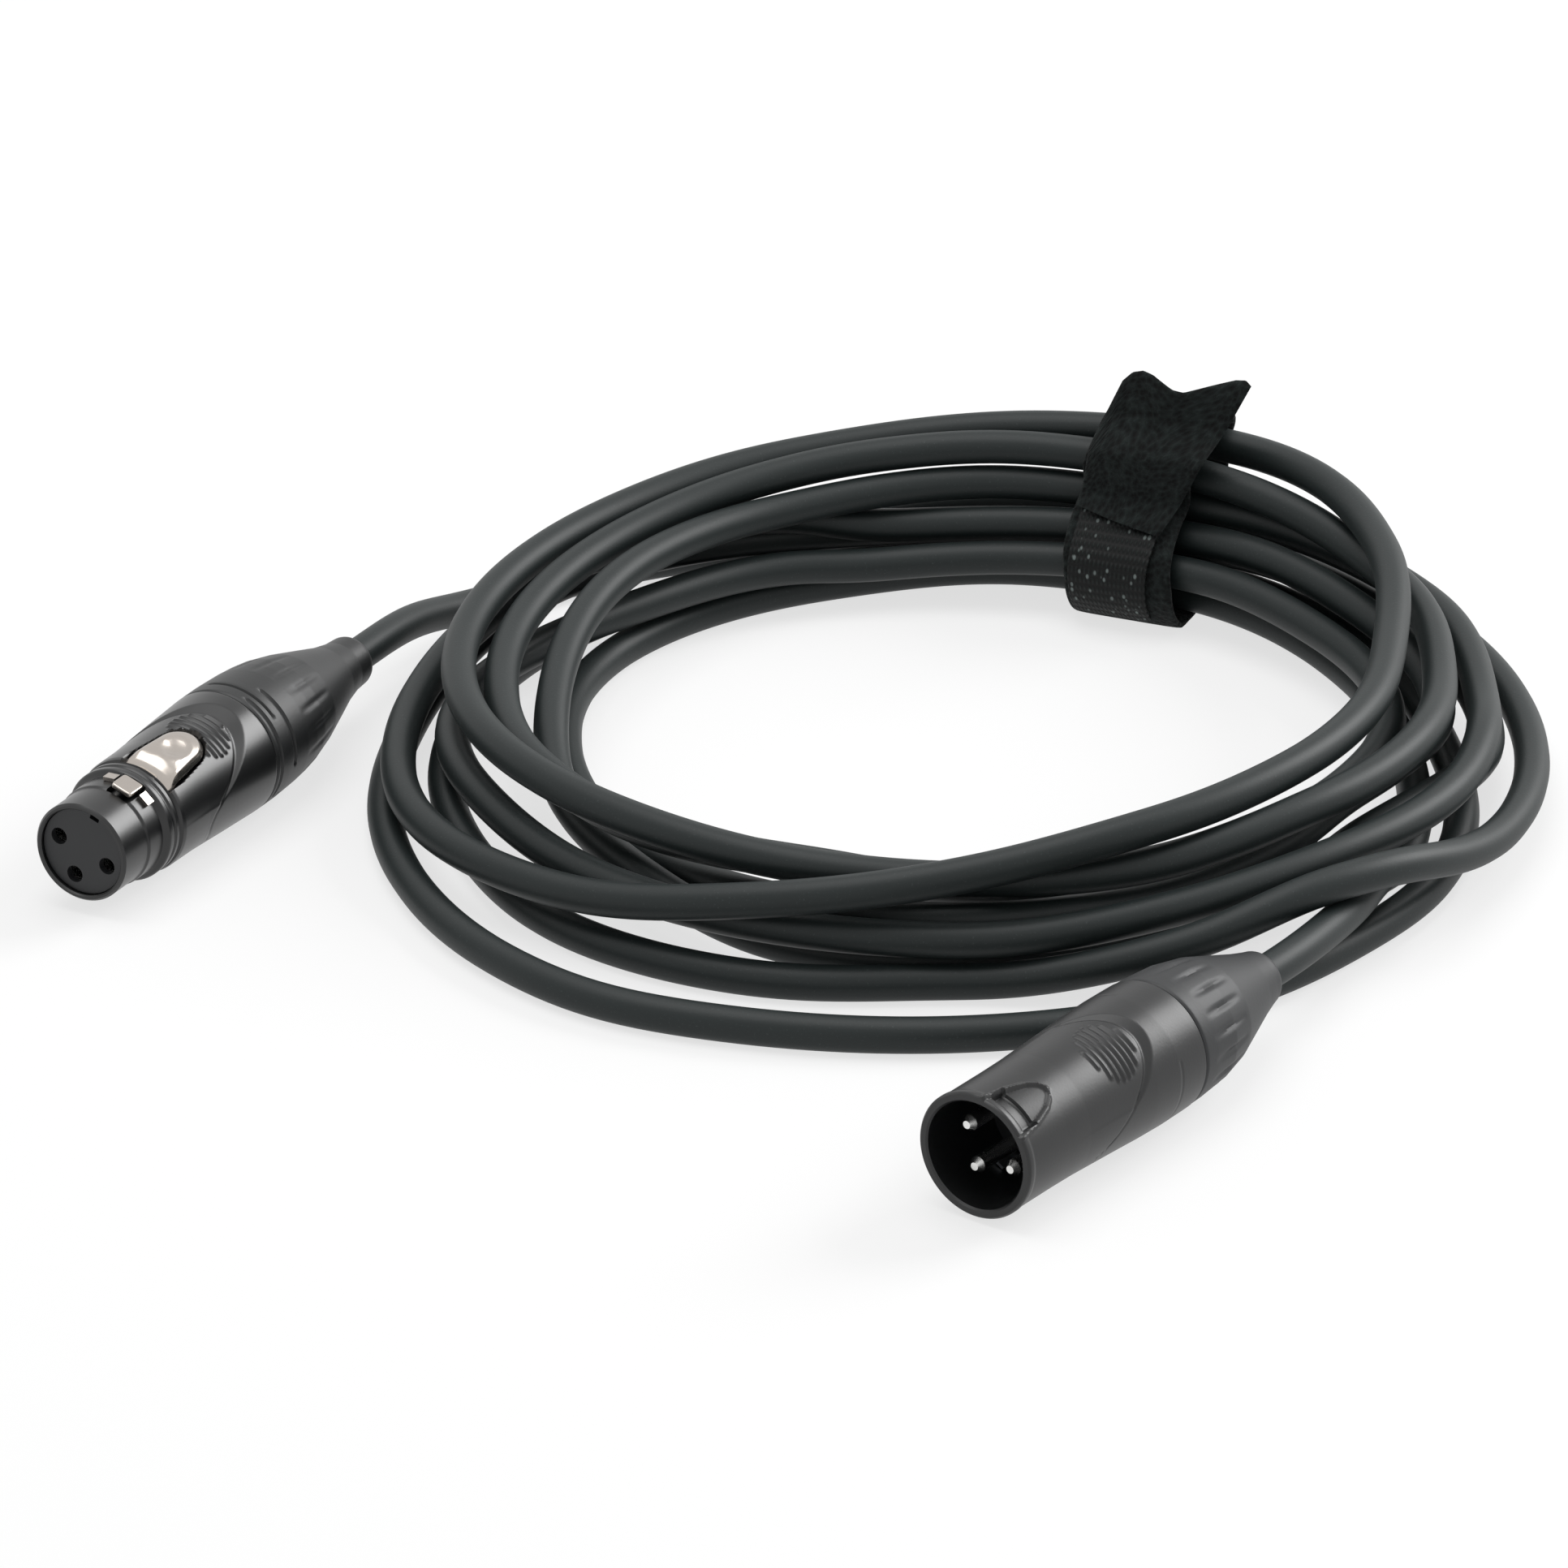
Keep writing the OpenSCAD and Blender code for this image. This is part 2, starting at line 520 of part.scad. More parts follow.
female_housing();
female_insert();
socket_contact_1();
socket_contact_2();
socket_contact_3();
female_latch();
latch_spring();
ground_tabs();
female_chuck();
female_boot();
female_hot_wire();
female_cold_wire();
female_shield_wire();
male_housing();
male_insert();
contact_pin_1();
contact_pin_2();
contact_pin_3();
male_ground_strip();
male_chuck();
male_boot();
male_hot_wire();
male_cold_wire();
male_shield_wire();
cable_female_lead();
cable_coil();
cable_male_lead();
strap_band();
strap_hook_layer();
strap_tail();
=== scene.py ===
# %% [markdown]
# # A microphone cable in a coil
# The part is one long microphone cable with a plug on each end, wound into a little over eight turns
# and held by a hook-and-loop strap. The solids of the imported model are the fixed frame. What is seen
# is made here: the round jacket, the moulded and cast detail of the plugs, the woven strap, and every
# finish.

import bpy
import numpy as np
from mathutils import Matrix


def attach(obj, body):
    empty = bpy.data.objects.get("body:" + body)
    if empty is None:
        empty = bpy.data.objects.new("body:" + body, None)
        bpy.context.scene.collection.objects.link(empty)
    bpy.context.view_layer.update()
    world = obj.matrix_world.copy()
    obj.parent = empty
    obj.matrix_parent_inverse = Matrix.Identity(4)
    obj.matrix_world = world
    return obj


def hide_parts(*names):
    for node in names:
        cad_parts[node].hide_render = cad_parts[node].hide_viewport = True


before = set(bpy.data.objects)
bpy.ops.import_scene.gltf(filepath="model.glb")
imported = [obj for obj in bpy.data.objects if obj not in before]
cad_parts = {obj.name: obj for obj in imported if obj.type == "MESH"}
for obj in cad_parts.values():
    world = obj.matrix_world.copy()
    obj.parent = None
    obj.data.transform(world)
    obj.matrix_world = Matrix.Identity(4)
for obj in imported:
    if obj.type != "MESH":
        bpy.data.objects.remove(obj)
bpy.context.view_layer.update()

MM = 0.001

# %% [markdown]
# ## The camera
# The coil lies on a table and is seen from in front, a little from above, through a long lens. A long
# lens far away keeps both plugs at nearly one scale. A camera that looks along +Y needs only one turn,
# about X: 65 degrees from straight down is 25 degrees above the table.

# %% Camera
lens = bpy.data.cameras.new("studio_camera")
lens.lens = 203.5
lens.sensor_width = 36
lens.clip_end = 20
camera = bpy.data.objects.new("studio_camera", lens)
camera.location = (-0.00273, -1.21690, 0.58152)
camera.rotation_euler = (np.radians(65), 0, 0)
bpy.context.scene.collection.objects.link(camera)
bpy.context.scene.camera = camera
print("camera", round(camera.location.length, 3), "m from the coil")

# %% [markdown]
# ## One way to make every surface
# Nearly every piece here is a ring carried along a path: a jacket, a turned shell, a strap. So one
# helper makes the mesh from a grid of points, row by row. It closes each ring, closes both ends or
# joins the last row to the first, and turns the faces outward by the sign of the enclosed volume.

# %% Helper for ring surfaces
def ring_piece(name, grid, body="coil", shell=False, along=None, around=None, crease=35):
    """Quads join neighbouring rows and columns of a (rows, columns, 3) grid in mm.

    Columns always close into a ring. A shell's last row joins its first row; any other piece gets
    one flat face on each end. The volume is the sum of p0 . (p1 x p2) / 6 over the triangles, and
    all faces turn over where it is negative. along and around, in mm, become the UV map."""
    rows, cols = grid.shape[:2]
    i = np.arange(rows if shell else rows - 1)[:, None]
    j = np.arange(cols)[None, :]
    nxt, row, down = (j + 1) % cols, i * cols, ((i + 1) % rows) * cols
    quads = np.stack(np.broadcast_arrays(row + j, row + nxt, down + nxt, down + j), -1).reshape(-1, 4)
    ring = np.arange(cols)
    ends = [] if shell else [ring[::-1], ring + (rows - 1) * cols]
    points = grid.reshape(-1, 3) * MM
    fans = [np.stack([np.full(cols - 2, e[0]), e[1:-1], e[2:]], -1) for e in ends]
    tris = np.concatenate([quads[:, [0, 1, 2]], quads[:, [0, 2, 3]]] + fans)
    p0, p1, p2 = (points[tris[:, k]] for k in range(3))
    volume = np.einsum("ij,ij->i", p0, np.cross(p1, p2)).sum() / 6
    turn = -1 if volume < 0 else 1
    faces = quads[:, ::turn].tolist() + [e[::turn].tolist() for e in ends]
    mesh = bpy.data.meshes.new(name)
    mesh.from_pydata(points, [], faces)
    if along is not None:
        far = np.append(along, 2 * along[-1] - along[-2])
        u = np.broadcast_to(np.stack([far[i], far[i], far[i + 1], far[i + 1]], -1), (len(i), cols, 4))
        v = np.broadcast_to(np.stack([around[j], around[j + 1], around[j + 1], around[j]], -1),
                            (len(i), cols, 4))
        flat = (np.stack([u, v], -1).reshape(-1, 4, 2) * MM)[:, ::turn].reshape(-1, 2)
        flat = np.concatenate([flat, np.zeros((sum(len(e) for e in ends), 2))])
        mesh.uv_layers.new(name="laid_flat").data.foreach_set("uv", flat.ravel())
    mesh.polygons.foreach_set("use_smooth", np.ones(len(faces), bool))
    mesh.set_sharp_from_angle(angle=np.radians(crease))
    piece = bpy.data.objects.new(name, mesh)
    bpy.context.scene.collection.objects.link(piece)
    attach(piece, body)
    print(f"{name}: {len(faces)} faces, {abs(volume) * 1e6:.2f} cm3")
    return piece


def length_along(points):
    """Distance walked from the first point to each point."""
    return np.concatenate([[0], np.cumsum(np.linalg.norm(np.diff(points, axis=0), axis=1))])


def between(t, h, a, slope_a, b, slope_b):
    """Cubic from a to b: (2t3-3t2+1)a + (t3-2t2+t)h slope_a + (3t2-2t3)b + (t3-t2)h slope_b."""
    return ((2 * t**3 - 3 * t**2 + 1) * a + (t**3 - 2 * t**2 + t) * h * slope_a
            + (3 * t**2 - 2 * t**3) * b + (t**3 - t**2) * h * slope_b)


def walk(points, s, lo, hi, step, open_end=True):
    """Points at an even pace from length lo to hi, on cubics whose slopes are the neighbours' chord."""
    slope = np.gradient(points, s, axis=0)
    q = np.linspace(lo, hi, int((hi - lo) / step) + 1)[: None if open_end else -1]
    k = np.clip(np.searchsorted(s, q, side="right") - 1, 0, len(s) - 2)
    h = (s[k + 1] - s[k])[:, None]
    return between((q - s[k])[:, None] / h, h, points[k], slope[k], points[k + 1], slope[k + 1])

# %% [markdown]
# ## Where the cable lies
# A wound cable can't be drawn turn by turn as circles: its turns cross, climb and change places.
# The same lanes as in the solids are used: for each turn, places given by the angle clockwise from the
# left rear, the distance from the coil's centre and the height. A smooth curve joins them.

# %% Lanes of the coil
CABLE_D = 5.5
CENTRE = np.array([24.27, 32.18])
ZERO_AT = 135  # direction of lane angle 0, in degrees from +X
STRAP_U = 68  # lane angle at which the strap sits
LANES = [
    [(20, 90, 2.75), (45, 86.2, 8.1), (68, 86.3, 9), (90, 86.8, 8.6), (110, 88.2, 7.2), (135, 88.8, 6.4),
     (158, 89.4, 7.6), (169, 89.6, 10.5), (180, 89.4, 14.9), (187, 88, 15.3), (202, 84.5, 9.5),
     (225, 76.9, 2.75), (247, 82, 2.75), (270, 84, 2.75), (292, 81, 2.75), (315, 79.5, 2.75)],
    [(0, 78.6, 2.75), (45, 79.3, 2.75), (90, 79.3, 2.75), (135, 76.5, 2.75), (146, 78.7, 2.75),
     (158, 81.5, 2.75), (169, 83.8, 2.75), (180, 85.2, 2.75), (202, 90.5, 2.75), (225, 94.2, 2.75),
     (247, 97.6, 2.75), (258, 99.5, 2.75), (270, 98, 2.75), (292, 92.8, 2.75), (315, 87.8, 2.75)],
    [(0, 83.5, 8.9), (22, 80.3, 8.7), (45, 77.2, 8.6), (90, 80.5, 8.8), (110, 82, 8.2), (135, 82.2, 7.2),
     (146, 80.5, 9.1), (158, 75.5, 9.6), (169, 72, 9), (180, 71.4, 6.3), (202, 70.8, 3.8), (225, 70.4, 2.75),
     (247, 71, 3.2), (270, 68.3, 6.5), (292, 65.8, 9), (315, 62.7, 13.8)],
    [(0, 66.8, 17.8), (22, 70.9, 17.2), (28, 71.5, 17.5), (34, 72.4, 17.7), (45, 74.1, 17.4),
     (68, 76.4, 16.3), (90, 81.2, 15), (110, 83.4, 14.1), (135, 81, 13.6), (146, 81.7, 15.2),
     (158, 82.2, 14.6), (180, 80.5, 14.8), (202, 78, 12.2), (225, 76, 9), (270, 77, 8.7), (292, 77.3, 9.4),
     (315, 78.5, 8.7)],
    [(0, 68, 8.9), (22, 68.2, 8.3), (34, 67.2, 7.2), (45, 66.6, 7.2), (90, 67.8, 9), (135, 66.8, 9),
     (158, 62.6, 9.5), (180, 61.5, 11), (202, 62.4, 10), (225, 61.6, 10.8), (247, 62.6, 13),
     (270, 66.8, 13.3), (292, 70.6, 15.6), (315, 70.8, 16.5)],
    [(0, 73.2, 19.4), (22, 75.1, 21.5), (34, 75.6, 22.7), (45, 76, 22.8), (68, 76.5, 22.3), (90, 78, 20.2),
     (110, 77.6, 18.5), (135, 74.3, 18.6), (158, 75.2, 20.5), (180, 74.4, 20.4), (191, 73.4, 18.9),
     (202, 72.1, 17), (225, 67.5, 14.9), (247, 70.8, 16.8), (270, 73.5, 18.5), (292, 76, 19),
     (315, 77.4, 18.7)],
    [(0, 79.6, 20), (22, 81.3, 21.6), (45, 82.5, 23), (90, 82.8, 24.8), (110, 74.2, 25.4), (135, 66.6, 24),
     (158, 66.8, 24.1), (180, 68.6, 24.2), (202, 71.5, 23.2), (225, 73.6, 18.7), (247, 79.4, 14.6),
     (270, 85.6, 9.8), (292, 89, 8.9), (315, 86, 8.8)],
    [(0, 79.6, 13.8), (22, 77.1, 13.8), (28, 75.6, 13), (34, 73.1, 11.7), (45, 71.4, 11.4), (68, 72, 12.1),
     (90, 73.5, 13), (110, 74.2, 12.3), (135, 74.4, 12.2), (158, 71, 15), (169, 69, 14.8), (180, 69.7, 13.2),
     (202, 70, 10.4), (225, 69.3, 9), (247, 65.3, 7.4), (270, 62, 5.5), (315, 61, 4.5)],
    [(0, 69, 2.75), (22, 71.3, 2.75), (45, 72.9, 2.75), (68, 72.9, 2.75), (90, 72.5, 2.75), (135, 70, 2.75),
     (146, 71.3, 2.75), (158, 74.4, 2.75)],
]
lane = np.concatenate([np.array(turn, float) + [360 * k, 0, 0] for k, turn in enumerate(LANES)])
print(len(LANES), "turns,", len(lane), "places on the lanes")

# %% Smooth curve through the lanes
def lane_slopes(value, gentle):
    """Slope at each place: neighbours' mean weighted by distance, or for heights the harmonic mean,
    which is zero at a peak so that the curve never overshoots it."""
    step = np.diff(lane[:, 0])
    rise = np.diff(value) / step
    inside = (rise[:-1] * step[1:] + rise[1:] * step[:-1]) / (step[:-1] + step[1:])
    if gentle:
        same = rise[:-1] * rise[1:] > 0
        total = np.where(same, rise[:-1] + rise[1:], 1)
        inside = np.where(same, 2 * rise[:-1] * rise[1:] / total, 0)
    return np.concatenate([rise[:1], inside, rise[-1:]])


def along_lanes(u):
    """Distance and height at lane angle u, each a cubic through the places with the slopes above."""
    k = np.clip(np.searchsorted(lane[:, 0], u, side="right") - 1, 0, len(lane) - 2)
    h = lane[k + 1, 0] - lane[k, 0]
    t = (u - lane[k, 0]) / h
    found = []
    for column, gentle in ((1, False), (2, True)):
        value, slope = lane[:, column], lane_slopes(lane[:, column], gentle)
        found.append(between(t, h, value[k], slope[k], value[k + 1], slope[k + 1]))
    return found


def on_coil(u, r, z):
    """Point at lane angle u, clockwise around the coil's centre. It is lifted 1.5 mm within 12 degrees
    of the strap, whose lower layer runs below, and over 28 degrees more the lift fades as a cosine."""
    off = np.abs((u + 180 - STRAP_U) % 360 - 180)
    lift = 1.5 * (1 + np.cos(np.pi * np.clip((off - 12) / 28, 0, 1))) / 2
    a = np.radians(ZERO_AT - u)
    return np.stack([CENTRE[0] + r * np.cos(a), CENTRE[1] + r * np.sin(a), z + lift], -1)


COIL_FROM, COIL_TO, COIL_STEP = 20, 3020, 1.5  # lane angles, counted on through the turns
u = np.arange(COIL_FROM, COIL_TO + 0.1, COIL_STEP)
coil = on_coil(u, *along_lanes(u))
print("coil:", round(length_along(coil)[-1]), "mm of cable")

# %% [markdown]
# ## The two plugs' own frames
# Detail on a plug is easiest to write in the plug's own measures: how far from the mating face, at
# which angle from its own top, and how far from its axis. One function turns those into the scene.

# %% Plug frames
PLUG_H = 10.35


def plug_frame(end_angle, end_radius, length, heading, roll):
    """The axis lies level at PLUG_H, from the boot's end back to the mating face. A point is
    face + x along the axis + r (cos a up - sin a side), with the roll added to the angle."""
    end = on_coil(np.float64(end_angle), end_radius, PLUG_H) * [1, 1, 0] + [0, 0, PLUG_H]
    turn = np.radians(heading)
    axis, side, up = np.array([[np.cos(turn), np.sin(turn), 0], [-np.sin(turn), np.cos(turn), 0], [0, 0, 1]])
    face = end - length * axis

    def place(x, a, r):
        x, a, r = np.broadcast_arrays(np.asarray(x, float), np.radians(a + roll), r)
        return (face + x[..., None] * axis - (r * np.sin(a))[..., None] * side
                + (r * np.cos(a))[..., None] * up)
    return place


FEMALE_LEN, MALE_LEN = 80.0, 71.0
on_female = plug_frame(-32, 97.5, FEMALE_LEN, 62, 21)
on_male = plug_frame(200, 100.1, MALE_LEN, 53, 32)
print("female face", on_female(0, 0, 0).round(2), "male face", on_male(0, 0, 0).round(2))

# %% [markdown]
# ## The jacket
# The cable is one round PVC-jacketed tube. It leaves the female boot, drops to the table, makes its
# turns and rises again into the male boot. A mesh tube on one path keeps its length and diameter
# exact, and its UV map, length along and around, lets the finish follow the cable.

# %% Cable path
def through(points, step=2.0):
    """Smooth curve through all the points, with a ring about every 2 mm."""
    s = length_along(points)
    return walk(points, s, 0, s[-1], step)


def polar(rows):
    """Points of a lead, each written like a place on the lanes."""
    return on_coil(*np.array(rows, float).T)


STRAIGHT = 1.2 * CABLE_D  # stretch that keeps its direction where a lead meets a boot or the coil
head = (coil[1] - coil[0]) / np.linalg.norm(coil[1] - coil[0])
tail = (coil[-1] - coil[-2]) / np.linalg.norm(coil[-1] - coil[-2])
first = np.vstack([on_female(FEMALE_LEN - 28, 0, 0), on_female(FEMALE_LEN - 10, 0, 0),
                   on_female(FEMALE_LEN, 0, 0), on_female(FEMALE_LEN + STRAIGHT, 0, 0),
                   polar([(-20, 95.2, 8.9), (-10, 95.3, 4.9), (2, 94, 2.75)]), coil[0] - STRAIGHT * head,
                   coil[0]])
last = np.vstack([coil[-1], coil[-1] + STRAIGHT * tail,
                  polar([(152, 72.8, 2.75), (160, 74.9, 3), (169, 77.4, 4.6), (175, 80.5, 7.9),
                         (182, 85.6, 9.1), (190, 91.4, 9.8)]),
                  on_male(MALE_LEN + STRAIGHT, 0, 0), on_male(MALE_LEN, 0, 0),
                  on_male(MALE_LEN - 10, 0, 0), on_male(44, 0, 0)])
path = np.vstack([through(first)[:-1], coil, through(last)[1:]])
# A few passes of a 1-2-1 mean take out the last kinks, and the jacket never sinks into the table.
for _ in range(8):
    path[1:-1] = (path[:-2] + 2 * path[1:-1] + path[2:]) / 4
path[:, 2] = np.maximum(path[:, 2], CABLE_D / 2)
run = length_along(path)
print("cable:", round(run[-1]), "mm,", len(path), "rings")

# %% Cable jacket
SIDES = 18


def tube_grid(centres, radius, sides):
    """Rings of radius r around each centre: centre + r (cos a s + sin a n), with s level and n up."""
    heading = np.gradient(centres, axis=0)
    heading /= np.linalg.norm(heading, axis=1)[:, None]
    s = np.cross(heading, [0, 0, 1])
    s /= np.linalg.norm(s, axis=1)[:, None]
    n = np.cross(s, heading)
    a = np.linspace(0, 2 * np.pi, sides, endpoint=False)[None, :, None]
    return centres[:, None] + radius * (np.cos(a) * s[:, None] + np.sin(a) * n[:, None])


cable = ring_piece("cable_jacket", tube_grid(path, CABLE_D / 2, SIDES), along=run,
                   around=np.linspace(0, np.pi * CABLE_D, SIDES + 1))
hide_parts("cable_female_lead", "cable_coil", "cable_male_lead")

# %% [markdown]
# ## The female shell
# The shell of a cable plug is die-cast or moulded, so its edges are soft and its detail is shallow:
# a lip and groove behind the nose, a thumb rest with grip bars, and an arch where the rest runs out.
# All of that is a change of radius over (distance, angle), so the whole shell is one function.

# %% Helpers for moulded detail
def soft(t, lo, hi):
    """0 below lo, 1 above hi, and 3t2 - 2t3 between."""
    t = np.clip((t - lo) / (hi - lo), 0, 1)
    return t * t * (3 - 2 * t)


def grip_bars(x, a, centre, first_bar, pitch, count, half_len=4.5, half_angle=32, height=0.3):
    """Rounded bars around the plug, each a cosine bump across x, cut to a disc at its ends."""
    k = np.clip(np.round((x - first_bar) / pitch), 0, count - 1)
    off = np.abs(x - (first_bar + pitch * k))
    bar = np.cos(np.pi / 2 * np.clip(off / (0.42 * pitch), 0, 1)) ** 2
    t = np.clip((first_bar + pitch * k - centre) / half_len, -1, 1)
    reach = half_angle * np.sqrt(1 - t * t)
    return height * bar * (1 - soft(np.abs(a), reach - 3, reach + 1))


def thumb_arch(x, a, inner, outer, wide, sink=0.3, cut=0.3):
    """The rest in front of the arch lies lower and runs out to the front; between the arch's two
    curves the surface climbs from a sharp foot to the full radius. Both fade to nothing at the tips."""
    x_in, x_out = inner[0] - inner[1] * a**2, outer[0] - outer[1] * a**2
    fade = np.clip(1 - (a / wide) ** 2, 0, 1)
    t = (x - x_in) / np.maximum(x_out - x_in, 0.05)
    rest = sink * soft(x, x_in - 16, x_in) * (t < 0)
    climb = (sink + cut) * (1 - np.clip(t, 0, 1)) * (t >= 0)
    foot = cut * soft(x, x_in - 0.8, x_in) * (t < 0)
    return -(rest + climb + foot) * np.sqrt(fade)


FINE = np.arange(-84, 84, 1.1)  # the detail is on the top half, so its columns are closer there
ANGLES = np.concatenate([FINE, np.arange(84, 276, 4)])

# %% Female shell
FEMALE_SEAM = 40.3
female_outline = np.array([
    (0, 7.55), (0.35, 7.9), (6.4, 7.9), (6.8, 8.15), (10.5, 8.15), (10.9, 8.9), (11.2, 9.1), (12.1, 9.1),
    (12.4, 8.85), (12.7, 8.85), (13.0, 9.1), (13.6, 9.1), (13.8, 8.65), (14.2, 8.65), (14.6, 9.25),
    (15.2, 9.4), (22, 9.5), (30, 9.9), (39, 10.3), (40.1, 10.33), (FEMALE_SEAM, 10.15)]).T
BUTTON_FROM, BUTTON_TO, BUTTON_W = 14.5, 28.4, 9.0
SLACK = 0.035  # the opening narrows this share less than the button does
RECESS, RECESS_FLOOR = 2.7, 7.03  # depth of the button's opening, and the least radius left under it


def narrowed(x):
    """The button's width tapers to the rear: all of it up to x = 17.5, three quarters at x = 27.5."""
    return np.interp(x, [17.5, 27.5], [1, 0.76])


def button_edge(x, y):
    """Signed distance to the button's opening seen from the top: a square front, a narrower round rear."""
    y = y / (narrowed(x) + SLACK)
    mid = BUTTON_TO - BUTTON_W / 2
    body = np.where(x < mid, np.abs(y) - BUTTON_W / 2, np.hypot(x - mid, y) - BUTTON_W / 2)
    return np.maximum(BUTTON_FROM - x, body)


def female_radius(x, a):
    """Turned outline, minus thumb rest, button opening, hook pocket and the fine arch line, plus bars."""
    r = np.interp(x, *female_outline)
    y = r * np.sin(np.radians(a))
    r = r + thumb_arch(x, a, (34.4, 0.00197), (37.3, 0.00258), 69)
    r = r + grip_bars(x, a, 29.2, 25.2, 1.17, 8)
    line = np.abs(x - np.interp(np.abs(a), [69, 77, 86, 97, 110], [25, 23.5, 22.7, 23, 24]))
    r = r - 0.1 * (1 - soft(line, 0.1, 0.35)) * (np.abs(a) > 68) * (np.abs(a) < 110)
    r = np.maximum(r - RECESS * (1 - soft(button_edge(x, y), -0.12, 0.1)), RECESS_FLOOR)
    pocket = np.maximum(np.abs(y) - 2.0, np.maximum(6.5 - x, x - 10.9))
    return np.where(pocket < 0, np.minimum(r, RECESS_FLOOR), r)


def shell_grid(place, radius, seam, bores, step=0.2):
    """Outer rows follow radius(x, a) from the mouth to the seam; the bore's rows lead back."""
    x = np.append(np.arange(0, seam, step), seam)
    outer = place(x[:, None], ANGLES[None, :], radius(x[:, None], ANGLES[None, :]))
    back = [place(np.full(len(ANGLES), bx), ANGLES, np.full(len(ANGLES), br)) for bx, br in bores]
    return np.concatenate([outer, np.array(back)])


female_shell = ring_piece("female_shell", shell_grid(
    on_female, female_radius, FEMALE_SEAM,
    [(FEMALE_SEAM, 8.6), (34, 8.6), (34, 7.0), (0.25, 7.0), (0, 7.2)]), shell=True)
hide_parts("female_housing")

# %% [markdown]
# ## The male shell
# The male shell is the same idea: a thin mouth, a window where the latch of a socket catches, the
# same thumb rest and arch. The window is a pocket with a raised, rounded border and a deep slot.

# %% Male shell
MALE_SEAM = 42.7
male_outline = np.array([
    (0, 9.3), (0.3, 9.6), (1.1, 9.62), (1.6, 9.47), (10, 9.48), (15, 9.55), (20, 9.75), (25, 9.95),
    (30.5, 10.2), (36, 10.35), (41, 10.3), (42.4, 10.27), (MALE_SEAM, 10.05)]).T


def male_radius(x, a):
    """Turned outline with thumb rest and bars; the window's border is a 0.3 mm ridge along an arch
    whose half angle shrinks with x, inside it the floor slopes, and the slot is cut deep."""
    r = np.interp(x, *male_outline)
    r = r + thumb_arch(x, a, (31.0, 0.00191), (32.8, 0.00249), 56)
    r = r + grip_bars(x, a, 25.1, 20.9, 1.18, 8)
    line = np.abs(x - (25 - (np.abs(a) - 56) * 0.18))
    r = r - 0.1 * (1 - soft(line, 0.1, 0.35)) * (np.abs(a) > 55) * (np.abs(a) < 95)
    r = r - 0.07 * (1 - soft(np.abs(x - 36.4), 0.1, 0.3)) * (np.abs(a) > 40)
    half = np.interp(x, [0, 5, 8, 9.5, 10.2, 10.4], [26, 20.5, 14.5, 8.5, 2, 0])
    inside = np.minimum(half - np.abs(a), (10.3 - x) * 6)
    r = r + 0.25 * (1 - soft(np.abs(inside), 0.8, 2.6)) * (x < 10.8)
    r = r - soft(inside, 2, 3.4) * np.interp(x, [0, 4, 10], [0.25, 0.6, 0.2])
    slot = np.maximum(np.abs(x - 3.0) - 1.25, (np.abs(a) - 21) * 0.16)
    return r - (r - 8.35) * (1 - soft(slot, -0.12, 0.12))


male_shell = ring_piece("male_shell", shell_grid(
    on_male, male_radius, MALE_SEAM,
    [(MALE_SEAM, 8.6), (34, 8.6), (34, 8.2), (0.3, 8.2), (0, 8.45)]), shell=True)
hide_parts("male_housing")

# %% [markdown]
# ## The boots
# Behind each shell a screwed boot grips the cable and keeps it from bending sharply. It is a softer,
# duller plastic, tapers to the cable, and has shallow lens-shaped flutes to turn it by.

# %% Boots
def boot_piece(name, place, stations, seam, length, flute_x, flute_depth, node, dashes=()):
    """Turned taper; each flute is a hollow of depth sin^0.9 along x and cos2 around, repeated 18 times.
    Dashes are (x, from angle, to angle) rings cut 0.4 mm deep over part of the way round."""
    rim = [length - 0.4, length - 0.15, length]
    x = np.unique(np.concatenate([np.arange(seam + 0.2, length, 0.25), rim]))
    angles = np.arange(0, 360, 2.0)
    xx, aa = np.broadcast_arrays(x[:, None], angles[None, :])
    r = np.interp(xx, *np.array(stations).T)
    run_x = np.clip((xx - flute_x[0]) / (flute_x[1] - flute_x[0]), 0, 1)
    off = np.abs((aa + 10) % 20 - 10)
    r = r - flute_depth * np.sin(np.pi * run_x) ** 0.9 * np.cos(np.pi / 2 * np.clip(off / 4.8, 0, 1)) ** 2
    for dash_x, lo, hi in dashes:
        within = soft(aa, lo - 2, lo + 2) * (1 - soft(aa, hi - 2, hi + 2))
        r = r - 0.4 * (1 - soft(np.abs(xx - dash_x), 0.1, 0.42)) * within
    outer = place(xx, aa, r)
    bores = [(length, 3.05), (60, 3.05), (60, 6.7), (seam - 5, 6.7), (seam - 5, 8.4), (seam + 0.2, 8.4)]
    back = [place(np.full(len(angles), bx), angles, np.full(len(angles), br)) for bx, br in bores]
    boot = ring_piece(name, np.concatenate([outer, np.array(back)]), shell=True, crease=40)
    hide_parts(node)
    return boot


